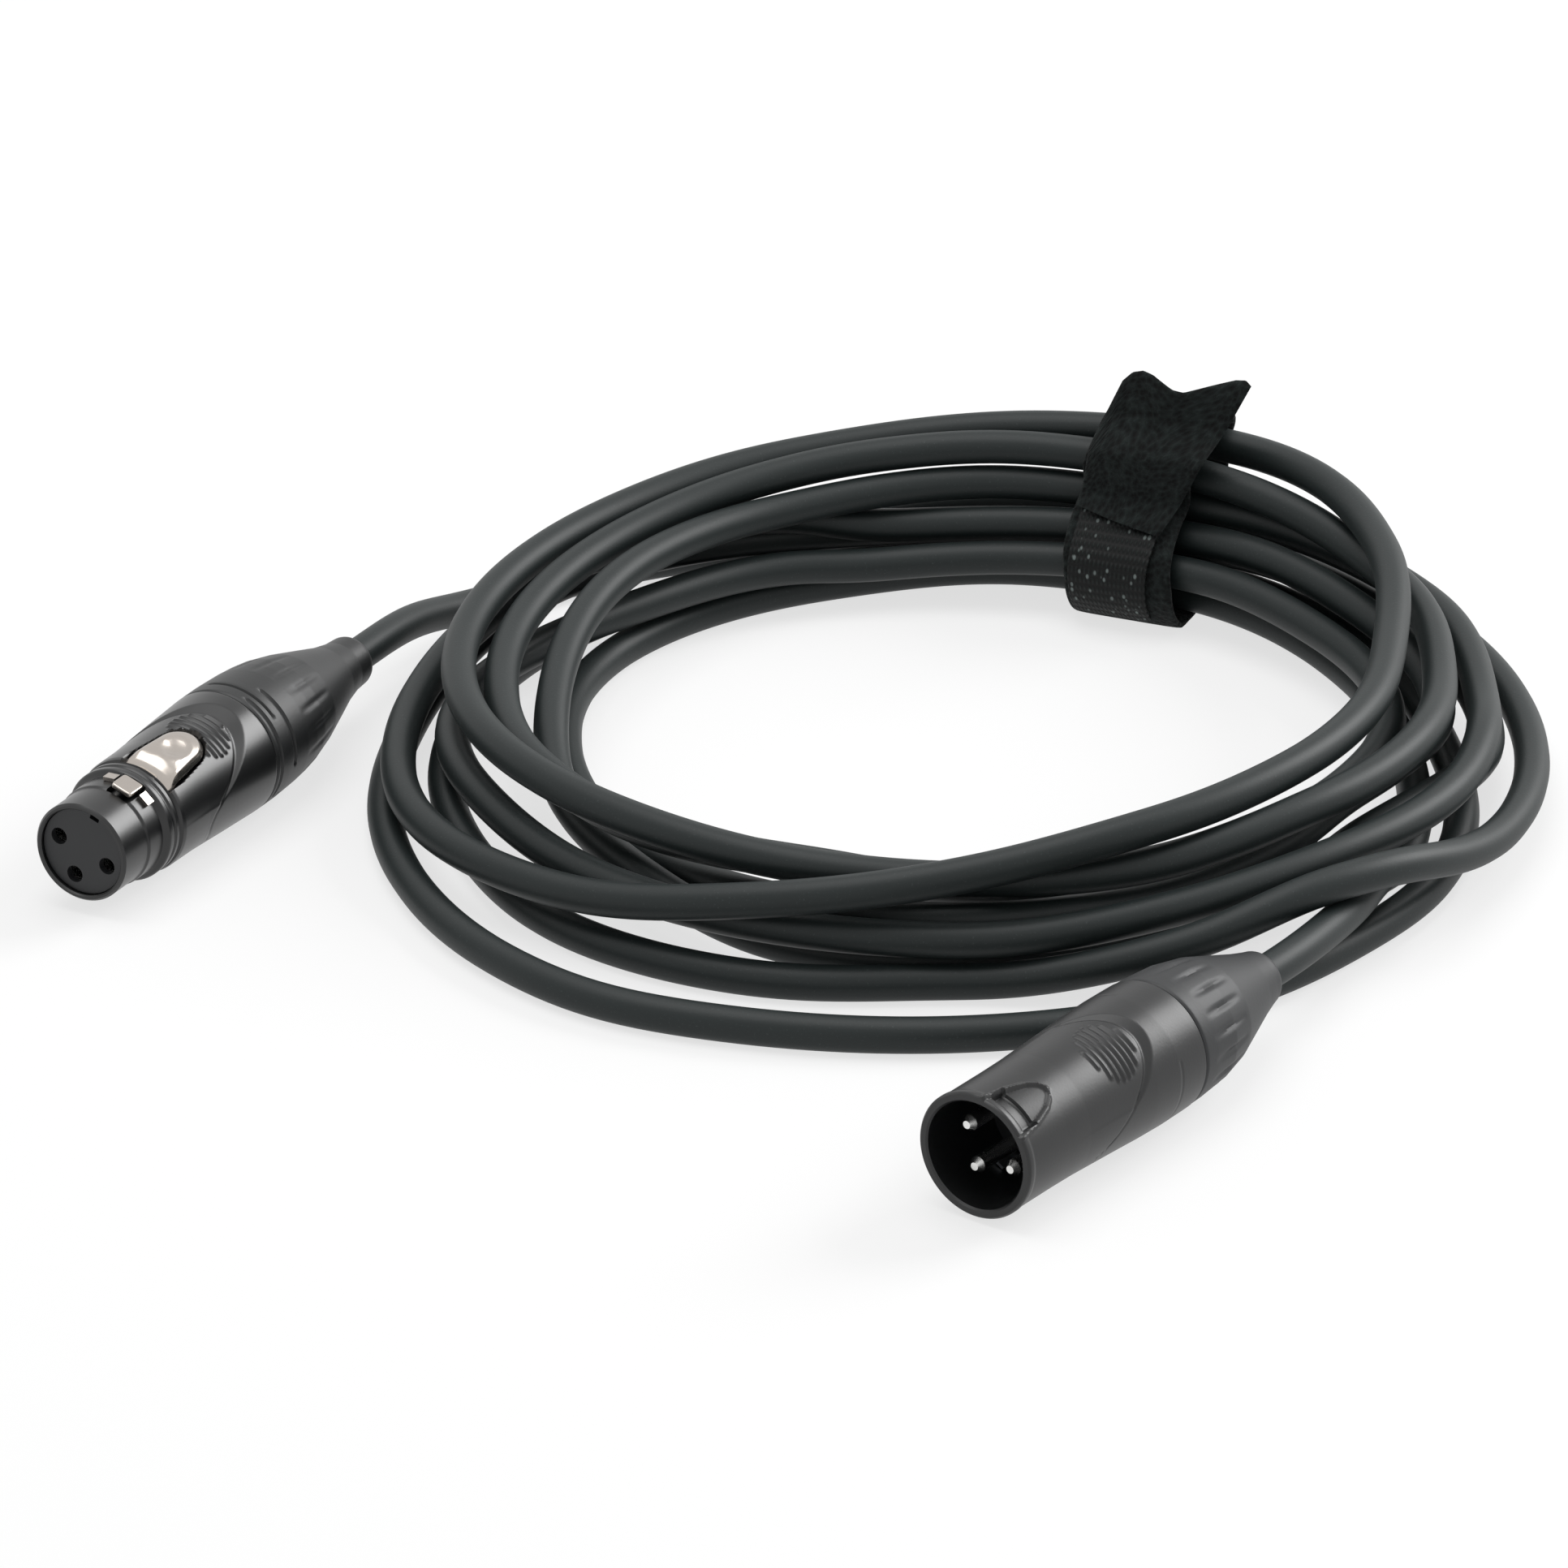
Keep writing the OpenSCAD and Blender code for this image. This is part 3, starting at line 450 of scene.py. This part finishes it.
female_boot = boot_piece("female_boot_sleeve", on_female, [
    (40.5, 10.1), (40.8, 10.33), (44.3, 10.33), (46.5, 10.25), (50, 10.1), (53, 9.85), (56, 9.45),
    (61, 8.35), (67, 6.65), (72, 5.2), (76, 4.4), (79.2, 4.2), (79.7, 4.05), (80, 3.7)],
    FEMALE_SEAM, FEMALE_LEN, (50, 61), 0.22, "female_boot",
    dashes=[(41.8, 1, 105), (41.8, 180, 285), (43.4, 105, 180), (43.4, 320, 390),
            (43.4, -40, 30), (45.8, 2, 80), (45.8, 180, 260)])
male_boot = boot_piece("male_boot_sleeve", on_male, [
    (42.9, 9.95), (43.2, 10.18), (46, 10.1), (51, 9.75), (56, 8.75), (61, 7.1), (66, 5.45), (69, 4.6),
    (70.3, 4.3), (70.8, 4.05), (71, 3.7)],
    MALE_SEAM, MALE_LEN, (45.4, 55.2), 0.38, "male_boot")

# %% [markdown]
# ## The latch button
# The push button is a nickel-plated tongue with a thumb dimple. It sits in the shell's opening and
# carries the hook that stands up in front of the shell. Its outline is a square with a round, narrower
# rear; the rows shrink that outline to the middle, and a height over (x, y) gives the crown and dimple.

# %% Latch
def tongue(x0, x1, w, corner=0.9, count=112):
    """Outline seen from the top, walked at an even pace: rounded front corners and a round rear."""
    q = np.radians(np.linspace(0, 90, 8))
    rear = np.radians(np.linspace(-90, 90, 40))
    pts = np.concatenate([
        np.stack([x0 + corner - corner * np.cos(q), -w / 2 + corner - corner * np.sin(q)], -1),
        np.stack([x1 - w / 2 + w / 2 * np.cos(rear), w / 2 * np.sin(rear)], -1),
        np.stack([x0 + corner - corner * np.sin(q), w / 2 - corner + corner * np.cos(q)], -1)])
    pts[:, 1] *= narrowed(pts[:, 0])
    closed = np.vstack([pts, pts[:1]])
    s = length_along(closed)
    at = np.linspace(0, s[-1], count, endpoint=False)
    return np.stack([np.interp(at, s, closed[:, k]) for k in (0, 1)], -1)


def on_plug_flat(place, x, y, z):
    """A point given by x along the plug, y across and z up, in the plug's own rolled frame."""
    return place(x, -np.degrees(np.arctan2(y, z)), np.hypot(y, z))


def button_top(x, y):
    """Height of the button: a crown along x on a round back, minus an oval dimple with a soft rim."""
    crown = np.interp(x, [14.7, 15.4, 17.4, 19, 25, 27.2, 28.2],
                      [9.0, 9.25, 10.0, 10.12, 10.2, 10.05, 9.75])
    z = np.sqrt(crown**2 - 0.75 * y**2)
    q = ((x - 21.6) / 3.0) ** 2 + (y / 2.2) ** 2
    return z - 0.55 * np.clip(1 - q, 0, 1) ** 1.5 + 0.12 * np.exp(-((np.sqrt(q) - 1.1) / 0.18) ** 2)


edge = tongue(14.7, 28.2, 8.6)
inward = np.array([0.02, 0.15, 0.3, 0.42, 0.54, 0.64, 0.72, 0.79, 0.85, 0.9, 0.95, 0.985, 1.0])
middle = np.array([20.8, 0])
xy = middle + inward[:, None, None] * (edge - middle)[None]
chamfer = 0.95 * np.clip((inward - 0.79) / 0.21, 0, 1) ** 1.3
top = button_top(xy[..., 0], xy[..., 1]) - chamfer[:, None]
# Two more rows under the edge, 0.08 and 0.22 mm down, are the button's thin side.
xy = np.concatenate([xy, np.broadcast_to(edge[None], (2, *edge.shape))])
z = np.concatenate([top, top[-1:] - 0.08, top[-1:] - 0.22])
latch = ring_piece("latch_button", on_plug_flat(on_female, xy[..., 0], xy[..., 1], z),
                   body="latch", crease=50)


def squared(value, power):
    """A cosine or sine raised to a small power with its sign kept, so that a round becomes a square."""
    return np.sign(value) * np.abs(value) ** power


def pressed_block(name, lo, hi, power=0.28):
    """A stamped block with soft edges: cos and sin of a sphere's angles raised to a small power."""
    lat = np.radians(np.linspace(-89.5, 89.5, 15))[:, None]
    lon = np.radians(np.linspace(0, 360, 32, endpoint=False))[None, :]
    ring = squared(np.cos(lat), power)
    unit = np.stack(np.broadcast_arrays(squared(np.sin(lat), power), ring * squared(np.cos(lon), power),
                                        ring * squared(np.sin(lon), power)), -1)
    p = (np.array(lo) + hi) / 2 + unit * (np.array(hi) - lo) / 2
    return ring_piece(name, on_plug_flat(on_female, p[..., 0], p[..., 1], p[..., 2]),
                      body="latch", crease=70)


hook = pressed_block("latch_hook", (6.85, -1.8, 8.25), (10.7, 1.8, 9.15))
hook_arm = pressed_block("latch_arm", (9.6, -1.6, 8.25), (15.4, 1.6, 8.6))
for piece in (latch, hook, hook_arm):
    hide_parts("female_latch")

# %% [markdown]
# ## The strap
# A hook-and-loop strap holds the coil: woven webbing round all the turns, its ends pressed together and
# standing up a little. It is modelled as webbing, a flat ribbon carried along its section line, because
# a simulation would only crumple it. The face has a fuzzy loop pile above and a hooked zone below.

# %% Strap
STRAP_AT = np.radians(ZERO_AT - STRAP_U)
STRAP_STEP = 0.7  # mm between rows of a ribbon
EDGE = 0.35  # power that makes a ribbon's section a rounded rectangle
radial = np.array([np.cos(STRAP_AT), np.sin(STRAP_AT), 0])
across = np.array([-np.sin(STRAP_AT), np.cos(STRAP_AT), 0])


def ribbon_grid(line, half, thick, closed, sway, cols=26):
    """A flat ribbon: a rounded-rectangle ring at each point of the line, turned with the line.
    half is the half width, one for all rows or one each, and sway moves each row sideways."""
    grad = np.roll(line, -1, 0) - np.roll(line, 1, 0) if closed else np.gradient(line, axis=0)
    grad /= np.linalg.norm(grad, axis=1)[:, None]
    normal = np.stack([-grad[:, 1], grad[:, 0]], -1)
    a = np.linspace(0, 2 * np.pi, cols, endpoint=False)
    side, face = squared(np.cos(a), EDGE), squared(np.sin(a), EDGE)
    w = np.broadcast_to(half, len(line))[:, None] * side + sway[:, None]
    section = line[:, None] + normal[:, None] * (thick / 2 * face)[None, :, None]
    return (np.append(CENTRE, 0) + section[..., :1] * radial + w[..., None] * across
            + section[..., 1:] * [0, 0, 1])


def rounded(points, closed):
    """The points joined by a smooth curve, walked at an even pace. A closed one is extended past both
    of its ends first, so that its slopes also match where it closes."""
    pts = np.array(points, float)
    if closed:
        pts = np.vstack([pts[-3:], pts, pts[:4]])
    s = length_along(pts)
    lo, hi = (s[3], s[-4]) if closed else (0, s[-1])
    return walk(pts, s, lo, hi, STRAP_STEP, open_end=not closed)


# How far round a 20 x 1.2 mm section each column lies, for the UV maps of both ribbons.
angle = np.linspace(0, 2 * np.pi, 27)
AROUND = length_along(np.stack([10 * squared(np.cos(angle), EDGE), 0.6 * squared(np.sin(angle), EDGE)], -1))

# Each line goes through (distance from the coil's centre, height) in mm.
band_line = rounded([(67.2, 0.62), (78, 0.6), (90.2, 0.62), (91, 4.6), (89.2, 16), (88.6, 28.2),
                     (84.8, 30.9), (76.9, 30.3), (71.6, 27.6), (71.5, 20), (67.2, 17.4),
                     (61.7, 11.4), (62.0, 6.9)], True)
slant = np.interp(band_line[:, 1], [0, 8, 16, 24, 29], [-2.6, -2.8, -2.0, -1.9, -3.6])
band = ring_piece("strap_loop_band", ribbon_grid(band_line, 9.2, 1.2, True, slant),
                  shell=True, along=np.arange(len(band_line)) * STRAP_STEP, around=AROUND, crease=60)
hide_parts("strap_band")
hook_line = rounded([(63.6, 2.4), (61.2, 5.6), (60.3, 8.2), (60.2, 11.7), (65.2, 17.4), (66.3, 18.4)],
                    False)
hook_half, hook_slant = (np.interp(hook_line[:, 1], [5, 12, 18], values)
                         for values in ([6.6, 6.7, 7.0], [-1.3, -1.4, -1.5]))
hook_tape = ring_piece("strap_hook_tape", ribbon_grid(hook_line, hook_half, 1.0, False, hook_slant),
                       along=np.arange(len(hook_line)) * STRAP_STEP, around=AROUND, crease=60)
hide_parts("strap_hook_layer")

# %% Strap end
def standing_end(name, base, top, depth, thick=1.1, rows=44, cols=60):
    """A sheet drawn from a base line to a cut top line, both as (across, height) in mm. Each point
    slides straight from base to top, and depth(height) gives its distance from the coil's centre.
    The second half of each ring is the back, and the sheet thins to its sides as a fourth root."""
    s = np.concatenate([np.linspace(0, 1, cols), np.linspace(1, 0, cols)])
    back = np.repeat([-1.0, 1.0], cols) * (1 - (2 * s - 1) ** 8) ** 0.25
    v = np.linspace(0, 1, rows)[:, None]
    foot, tip = (np.stack([np.interp(s, np.linspace(0, 1, len(e)), np.array(e)[:, k]) for k in (0, 1)], -1)
                 for e in (base, top))
    flat = foot + v[..., None] * (tip - foot)
    w, z = flat[..., 0], flat[..., 1]
    wavy = 0.25 * np.sin(w / 2.1 + z / 5) * v
    x = np.interp(z, *depth) + back * thick / 2 * (1 - v**10) ** 0.3 + wavy
    points = (np.append(CENTRE, 0) + x[..., None] * radial + w[..., None] * across
              + z[..., None] * [0, 0, 1])
    around = np.append(s * 19, 0)
    around[cols:] = 38 - around[cols:]
    return ring_piece(name, points, along=np.linspace(0, 22, rows), around=around, crease=60)


strap_end = standing_end(
    "strap_end", [(6.4, 19.4), (-9.0, 17.2)],
    [(4.9, 31.4), (3.6, 34.6), (2.2, 37.9), (0.6, 39.5), (-1.2, 40.0), (-3.0, 39.6), (-4.8, 38.7),
     (-6.6, 37.8), (-8.4, 37.6), (-10.6, 38.4), (-14.2, 39.8), (-17, 40.9), (-18.8, 41.2), (-19.8, 40.4)],
    ([17, 18.4, 19.6, 21, 28, 29.5, 31, 33, 41], [63.6, 64.6, 66.6, 68.3, 68.6, 70.2, 72.8, 74.4, 75.8]))
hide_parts("strap_tail")

# %% [markdown]
# ## Finishes
# Every material starts from what the thing is made of. Colours are written as the sRGB hex values a
# colour picker shows and turned to linear light by one function. One more function adds a node with
# its settings and links, so a material reads as a short list of what happens to the surface.

# %% Helpers for finishes
def tone(hex_code):
    """sRGB hex to linear: c / 12.92 below 0.04045, else ((c + 0.055) / 1.055) to the power 2.4."""
    c = np.array([int(hex_code[k:k + 2], 16) for k in (1, 3, 5)]) / 255
    return (*np.where(c <= 0.04045, c / 12.92, ((c + 0.055) / 1.055) ** 2.4), 1.0)


def add(tree, kind, settings=None, **links):
    """One node: settings by property or socket name, links from socket name to another output."""
    node = tree.nodes.new(kind)
    for key, value in (settings or {}).items():
        if isinstance(key, str) and hasattr(node, key):
            setattr(node, key, value)
        else:
            node.inputs[key].default_value = value
    for key, source in links.items():
        tree.links.new(source, node.inputs[int(key[1:]) if key[0] == "_" else key.replace("__", " ")])
    return node


def finish_of(name, colour, rough, metal=0.0, **more):
    """A material with one Principled shader, its constants set on the sockets."""
    made = bpy.data.materials.new(name)
    made.use_nodes = True
    tree = made.node_tree
    shader = tree.nodes["Principled BSDF"]
    shader.inputs["Base Color"].default_value = tone(colour)
    shader.inputs["Roughness"].default_value = rough
    shader.inputs["Metallic"].default_value = metal
    for key, value in more.items():
        shader.inputs[key.replace("_", " ")].default_value = value
    made.diffuse_color = tone(colour)
    return made, tree, shader


def bumped(tree, shader, height, strength, distance_mm):
    """Tilts the surface's shading by a height pattern of the given depth in mm."""
    bump = add(tree, "ShaderNodeBump", {"Strength": strength, "Distance": distance_mm * MM}, Height=height)
    tree.links.new(bump.outputs[0], shader.inputs["Normal"])


def laid_flat(tree):
    """The UV map of a cord or ribbon: metres along it and around it."""
    return add(tree, "ShaderNodeUVMap", {"uv_map": "laid_flat"}).outputs[0]


def shaded(tree, shader, dark, pale, share):
    """Base colour that goes from dark to pale as share goes from 0 to 1."""
    mix = add(tree, "ShaderNodeMix", {"data_type": "RGBA", 6: tone(dark), 7: tone(pale)}, _0=share)
    tree.links.new(mix.outputs[2], shader.inputs["Base Color"])
    return mix.outputs[2]


def grained(name, colour, rough, grain_mm, detail=2.0, strength=0.25, depth_mm=0.04, **more):
    """A plain material with a fine noise grain, in the object's own space, as its bump."""
    made, tree, shader = finish_of(name, colour, rough, **more)
    place = add(tree, "ShaderNodeTexCoord").outputs["Object"]
    grain = add(tree, "ShaderNodeTexNoise", {"Scale": 1 / (grain_mm * MM), "Detail": detail}, Vector=place)
    bumped(tree, shader, grain.outputs["Fac"], strength, depth_mm)
    return made


# %% Jacket: matt PVC
# Extruded, slightly chalky PVC: a dull charcoal with pale dust specks and a faint drag along its length.
jacket, tree, shader = finish_of("matt_pvc_jacket", "#192020", 0.5, Specular_IOR_Level=0.35)
uv = laid_flat(tree)
grain = add(tree, "ShaderNodeTexNoise", {"Scale": 1 / (0.45 * MM), "Detail": 2.0, "Roughness": 0.6},
            Vector=uv)
specks = add(tree, "ShaderNodeMapRange", {"From Min": 0.62, "From Max": 0.78, "To Max": 0.35},
             Value=grain.outputs["Fac"])
shaded(tree, shader, "#161d1d", "#495252", specks.outputs[0])
bumped(tree, shader, grain.outputs["Fac"], 0.35, 0.05)
cable.data.materials.append(jacket)

# %% Shells, boots and inserts: castings and moulded plastic
# The female shell is gloss black lacquer on a casting: dark, with sharp soft-box reflections. The male
# shell is satin black: a fine texture spreads the light, so it looks a middle grey where it shines.
# Boots are dull black nylon with the spark-eroded grain of their mould.
gloss = grained("gloss_black_lacquer", "#0a0b0c", 0.33, 1.2, strength=0.12, depth_mm=0.03,
                Coat_Weight=0.15, Coat_Roughness=0.2)
satin = grained("satin_black_coating", "#101112", 0.37, 0.4, detail=3.0)
black_nylon = grained("black_nylon_boot", "#0c0e0f", 0.45, 0.5, detail=3.0, strength=0.3, depth_mm=0.05)
grey_nylon = grained("grey_black_nylon_boot", "#17191b", 0.5, 0.5, detail=3.0, strength=0.3,
                     depth_mm=0.05)
for piece, made in ((female_shell, gloss), (male_shell, satin), (female_boot, black_nylon),
                    (male_boot, grey_nylon)):
    piece.data.materials.append(made)
insert = grained("black_pbt_insert", "#1c1d1f", 0.5, 0.5)
chuck = grained("dark_grey_nylon_chuck", "#2b2d30", 0.5, 0.6)
wires = {"hot_wire": grained("red_wire_sleeve", "#b5312c", 0.45, 0.6),
         "cold_wire": grained("white_wire_sleeve", "#e6e2da", 0.45, 0.6)}


# %% Metals
def plated(name, colour, rough, strength=0.1, scratch_mm=0.8):
    """Plated metal: a metal's colour with its roughness broken up by fine wear."""
    made, tree, shader = finish_of(name, colour, rough, 1.0)
    place = add(tree, "ShaderNodeTexCoord").outputs["Object"]
    wear = add(tree, "ShaderNodeTexNoise", {"Scale": 1 / (scratch_mm * MM), "Detail": 4.0}, Vector=place)
    worn = add(tree, "ShaderNodeMapRange", {"To Min": rough * 0.7, "To Max": rough * 1.5},
               Value=wear.outputs["Fac"])
    tree.links.new(worn.outputs[0], shader.inputs["Roughness"])
    bumped(tree, shader, wear.outputs["Fac"], strength, 0.02)
    return made


nickel = plated("bright_nickel_plate", "#b3aca5", 0.2, strength=0.03)
silver = plated("silver_plated_contact", "#e4e4e2", 0.22)
spring = plated("plain_spring_steel", "#b4b8bc", 0.3)
copper = plated("bare_copper_strand", "#c8825a", 0.35)
for piece in (latch, hook, hook_arm):
    piece.data.materials.append(nickel)

# %% Strap: loop pile and hook tape
# The loop side is a knitted pile: it swallows light and looks soft. The hook tape is a tight weave, and
# here and there a painted glint, a pale speck mixed into its colour, stands for a plastic hook catching the
# light.
pile, tree, shader = finish_of("black_loop_pile", "#0b0c0c", 0.9, Sheen_Weight=0.06, Sheen_Roughness=0.5,
                               Specular_IOR_Level=0.2)
uv = laid_flat(tree)
fuzz = add(tree, "ShaderNodeTexNoise", {"Scale": 1 / (0.7 * MM), "Detail": 4.0, "Roughness": 0.7},
           Vector=uv)
loops = add(tree, "ShaderNodeTexVoronoi", {"Scale": 1 / (0.9 * MM)}, Vector=uv)
mixed = add(tree, "ShaderNodeMath", {"operation": "MULTIPLY"}, _0=fuzz.outputs["Fac"],
            _1=loops.outputs["Distance"])
share = add(tree, "ShaderNodeMapRange", {"From Min": 0.1, "From Max": 0.55}, Value=mixed.outputs[0])
shaded(tree, shader, "#020303", "#232a29", share.outputs[0])
bumped(tree, shader, mixed.outputs[0], 0.9, 0.5)
for piece in (band, strap_end):
    piece.data.materials.append(pile)

WAVE = 0.314  # a wave texture of this scale repeats once in each unit of length
tape, tree, shader = finish_of("black_hook_tape_weave", "#0c0e0e", 0.65, Specular_IOR_Level=0.25)
uv = laid_flat(tree)
warp, weft = (add(tree, "ShaderNodeTexWave", {"Scale": WAVE / (pitch * MM), "bands_direction": way},
                  Vector=uv) for pitch, way in ((1.4, "X"), (1.1, "Y")))
woven = add(tree, "ShaderNodeMath", {"operation": "MULTIPLY"}, _0=warp.outputs["Fac"],
            _1=weft.outputs["Fac"])
cloth = shaded(tree, shader, "#020303", "#1a1f1e", woven.outputs[0])
# Painted glints: scattered pale specks of #8f9a98 mixed into the tape's colour, standing for a hook that
# catches the light.
painted_glint_cells = add(tree, "ShaderNodeTexVoronoi", {"Scale": 1 / (1.9 * MM)}, Vector=uv)
glint = add(tree, "ShaderNodeMapRange", {"From Min": 0.26, "From Max": 0.14, "To Max": 0.6},
            Value=painted_glint_cells.outputs["Distance"])
lit = add(tree, "ShaderNodeMix", {"data_type": "RGBA", 7: tone("#8f9a98")}, _0=glint.outputs[0], _6=cloth)
tree.links.new(lit.outputs[2], shader.inputs["Base Color"])
bumped(tree, shader, woven.outputs[0], 0.8, 0.3)
hook_tape.data.materials.append(tape)

# %% Finishes for the pieces that stay as solids
kept = {"female_insert": insert, "male_insert": insert, "female_chuck": chuck, "male_chuck": chuck,
        "latch_spring": spring, "male_ground_strip": spring, "ground_tabs": nickel,
        "female_shield_wire": copper, "male_shield_wire": copper}
kept.update({f"socket_contact_{k}": silver for k in (1, 2, 3)})
kept.update({f"contact_pin_{k}": silver for k in (1, 2, 3)})
kept.update({f"{end}_{wire}": made for end in ("female", "male") for wire, made in wires.items()})
for node, made in kept.items():
    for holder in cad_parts[node].material_slots:
        holder.material = made
print(len(kept), "solids keep their mesh and get a finish")

# %% [markdown]
# ## The cord's own facts
# The jacket is a free cord: it leaves the female boot, is 5.5 mm thick, medium stiff and coiled, and its far
# end is the male plug.
# The line below only works out, in metres, the point where it leaves the boot.

tuple(float(v) for v in on_female(FEMALE_LEN, 0, 0) * MM)

# %% [markdown]
# ## Studio
# A pale table under soft light. The floor is white for the camera and in reflections, keeps part of
# its own shading so that the shadow stays, and gives only plain light to the object.

# %% Floor and world
def white_seen(tree, lit, share):
    """Mixes in white emission of strength 1 for rays that come from the camera or a reflection."""
    rays = add(tree, "ShaderNodeLightPath")
    seen = add(tree, "ShaderNodeMath", {"operation": "MAXIMUM"}, _0=rays.outputs["Is Camera Ray"],
               _1=rays.outputs["Is Glossy Ray"])
    seen = add(tree, "ShaderNodeMath", {"operation": "MAXIMUM"}, _0=seen.outputs[0],
               _1=rays.outputs["Is Transmission Ray"])
    part = add(tree, "ShaderNodeMath", {"operation": "MULTIPLY", 1: share}, _0=seen.outputs[0])
    white = add(tree, "ShaderNodeEmission" if share < 1 else "ShaderNodeBackground",
                {"Color": (1, 1, 1, 1), "Strength": 1.0})
    return add(tree, "ShaderNodeMixShader", None, _0=part.outputs[0], _1=lit, _2=white.outputs[0])


floor_mesh = bpy.data.meshes.new("studio_floor")
floor_mesh.from_pydata([(-4, -4, 0), (4, -4, 0), (4, 4, 0), (-4, 4, 0)], [], [(0, 1, 2, 3)])
floor = bpy.data.objects.new("studio_floor", floor_mesh)
bpy.context.scene.collection.objects.link(floor)
table = bpy.data.materials.new("pale_table")
table.use_nodes = True
table.node_tree.nodes.clear()
lit = add(table.node_tree, "ShaderNodeBsdfDiffuse", {"Color": tone("#f2f2f2")})
mix = white_seen(table.node_tree, lit.outputs[0], 0.7)
add(table.node_tree, "ShaderNodeOutputMaterial", None, Surface=mix.outputs[0])
floor_mesh.materials.append(table)

world = bpy.data.worlds.new("soft_room")
world.use_nodes = True
world.node_tree.nodes.clear()
room = add(world.node_tree, "ShaderNodeBackground", {"Color": (1, 1, 1, 1), "Strength": 0.45})
mix = white_seen(world.node_tree, room.outputs[0], 1.0)
add(world.node_tree, "ShaderNodeOutputWorld", None, Surface=mix.outputs[0])
bpy.context.scene.world = world

# %% Lamps
def soft_box(name, place, size, watts):
    """A square lamp that faces the coil from the given place, in metres."""
    lamp = bpy.data.lights.new(name, "AREA")
    lamp.size, lamp.energy = size, watts
    holder = bpy.data.objects.new(name, lamp)
    holder.location = place
    x, y, z = place
    holder.rotation_euler = (np.arctan2(np.hypot(x, y), z), 0, np.arctan2(x, -y))
    bpy.context.scene.collection.objects.link(holder)


soft_box("back_right_box", (1.3, 0.7, 0.9), 0.9, 22)
soft_box("top_box", (-0.2, 0.1, 1.6), 1.2, 12)

bpy.context.scene.view_settings.view_transform = "Standard"
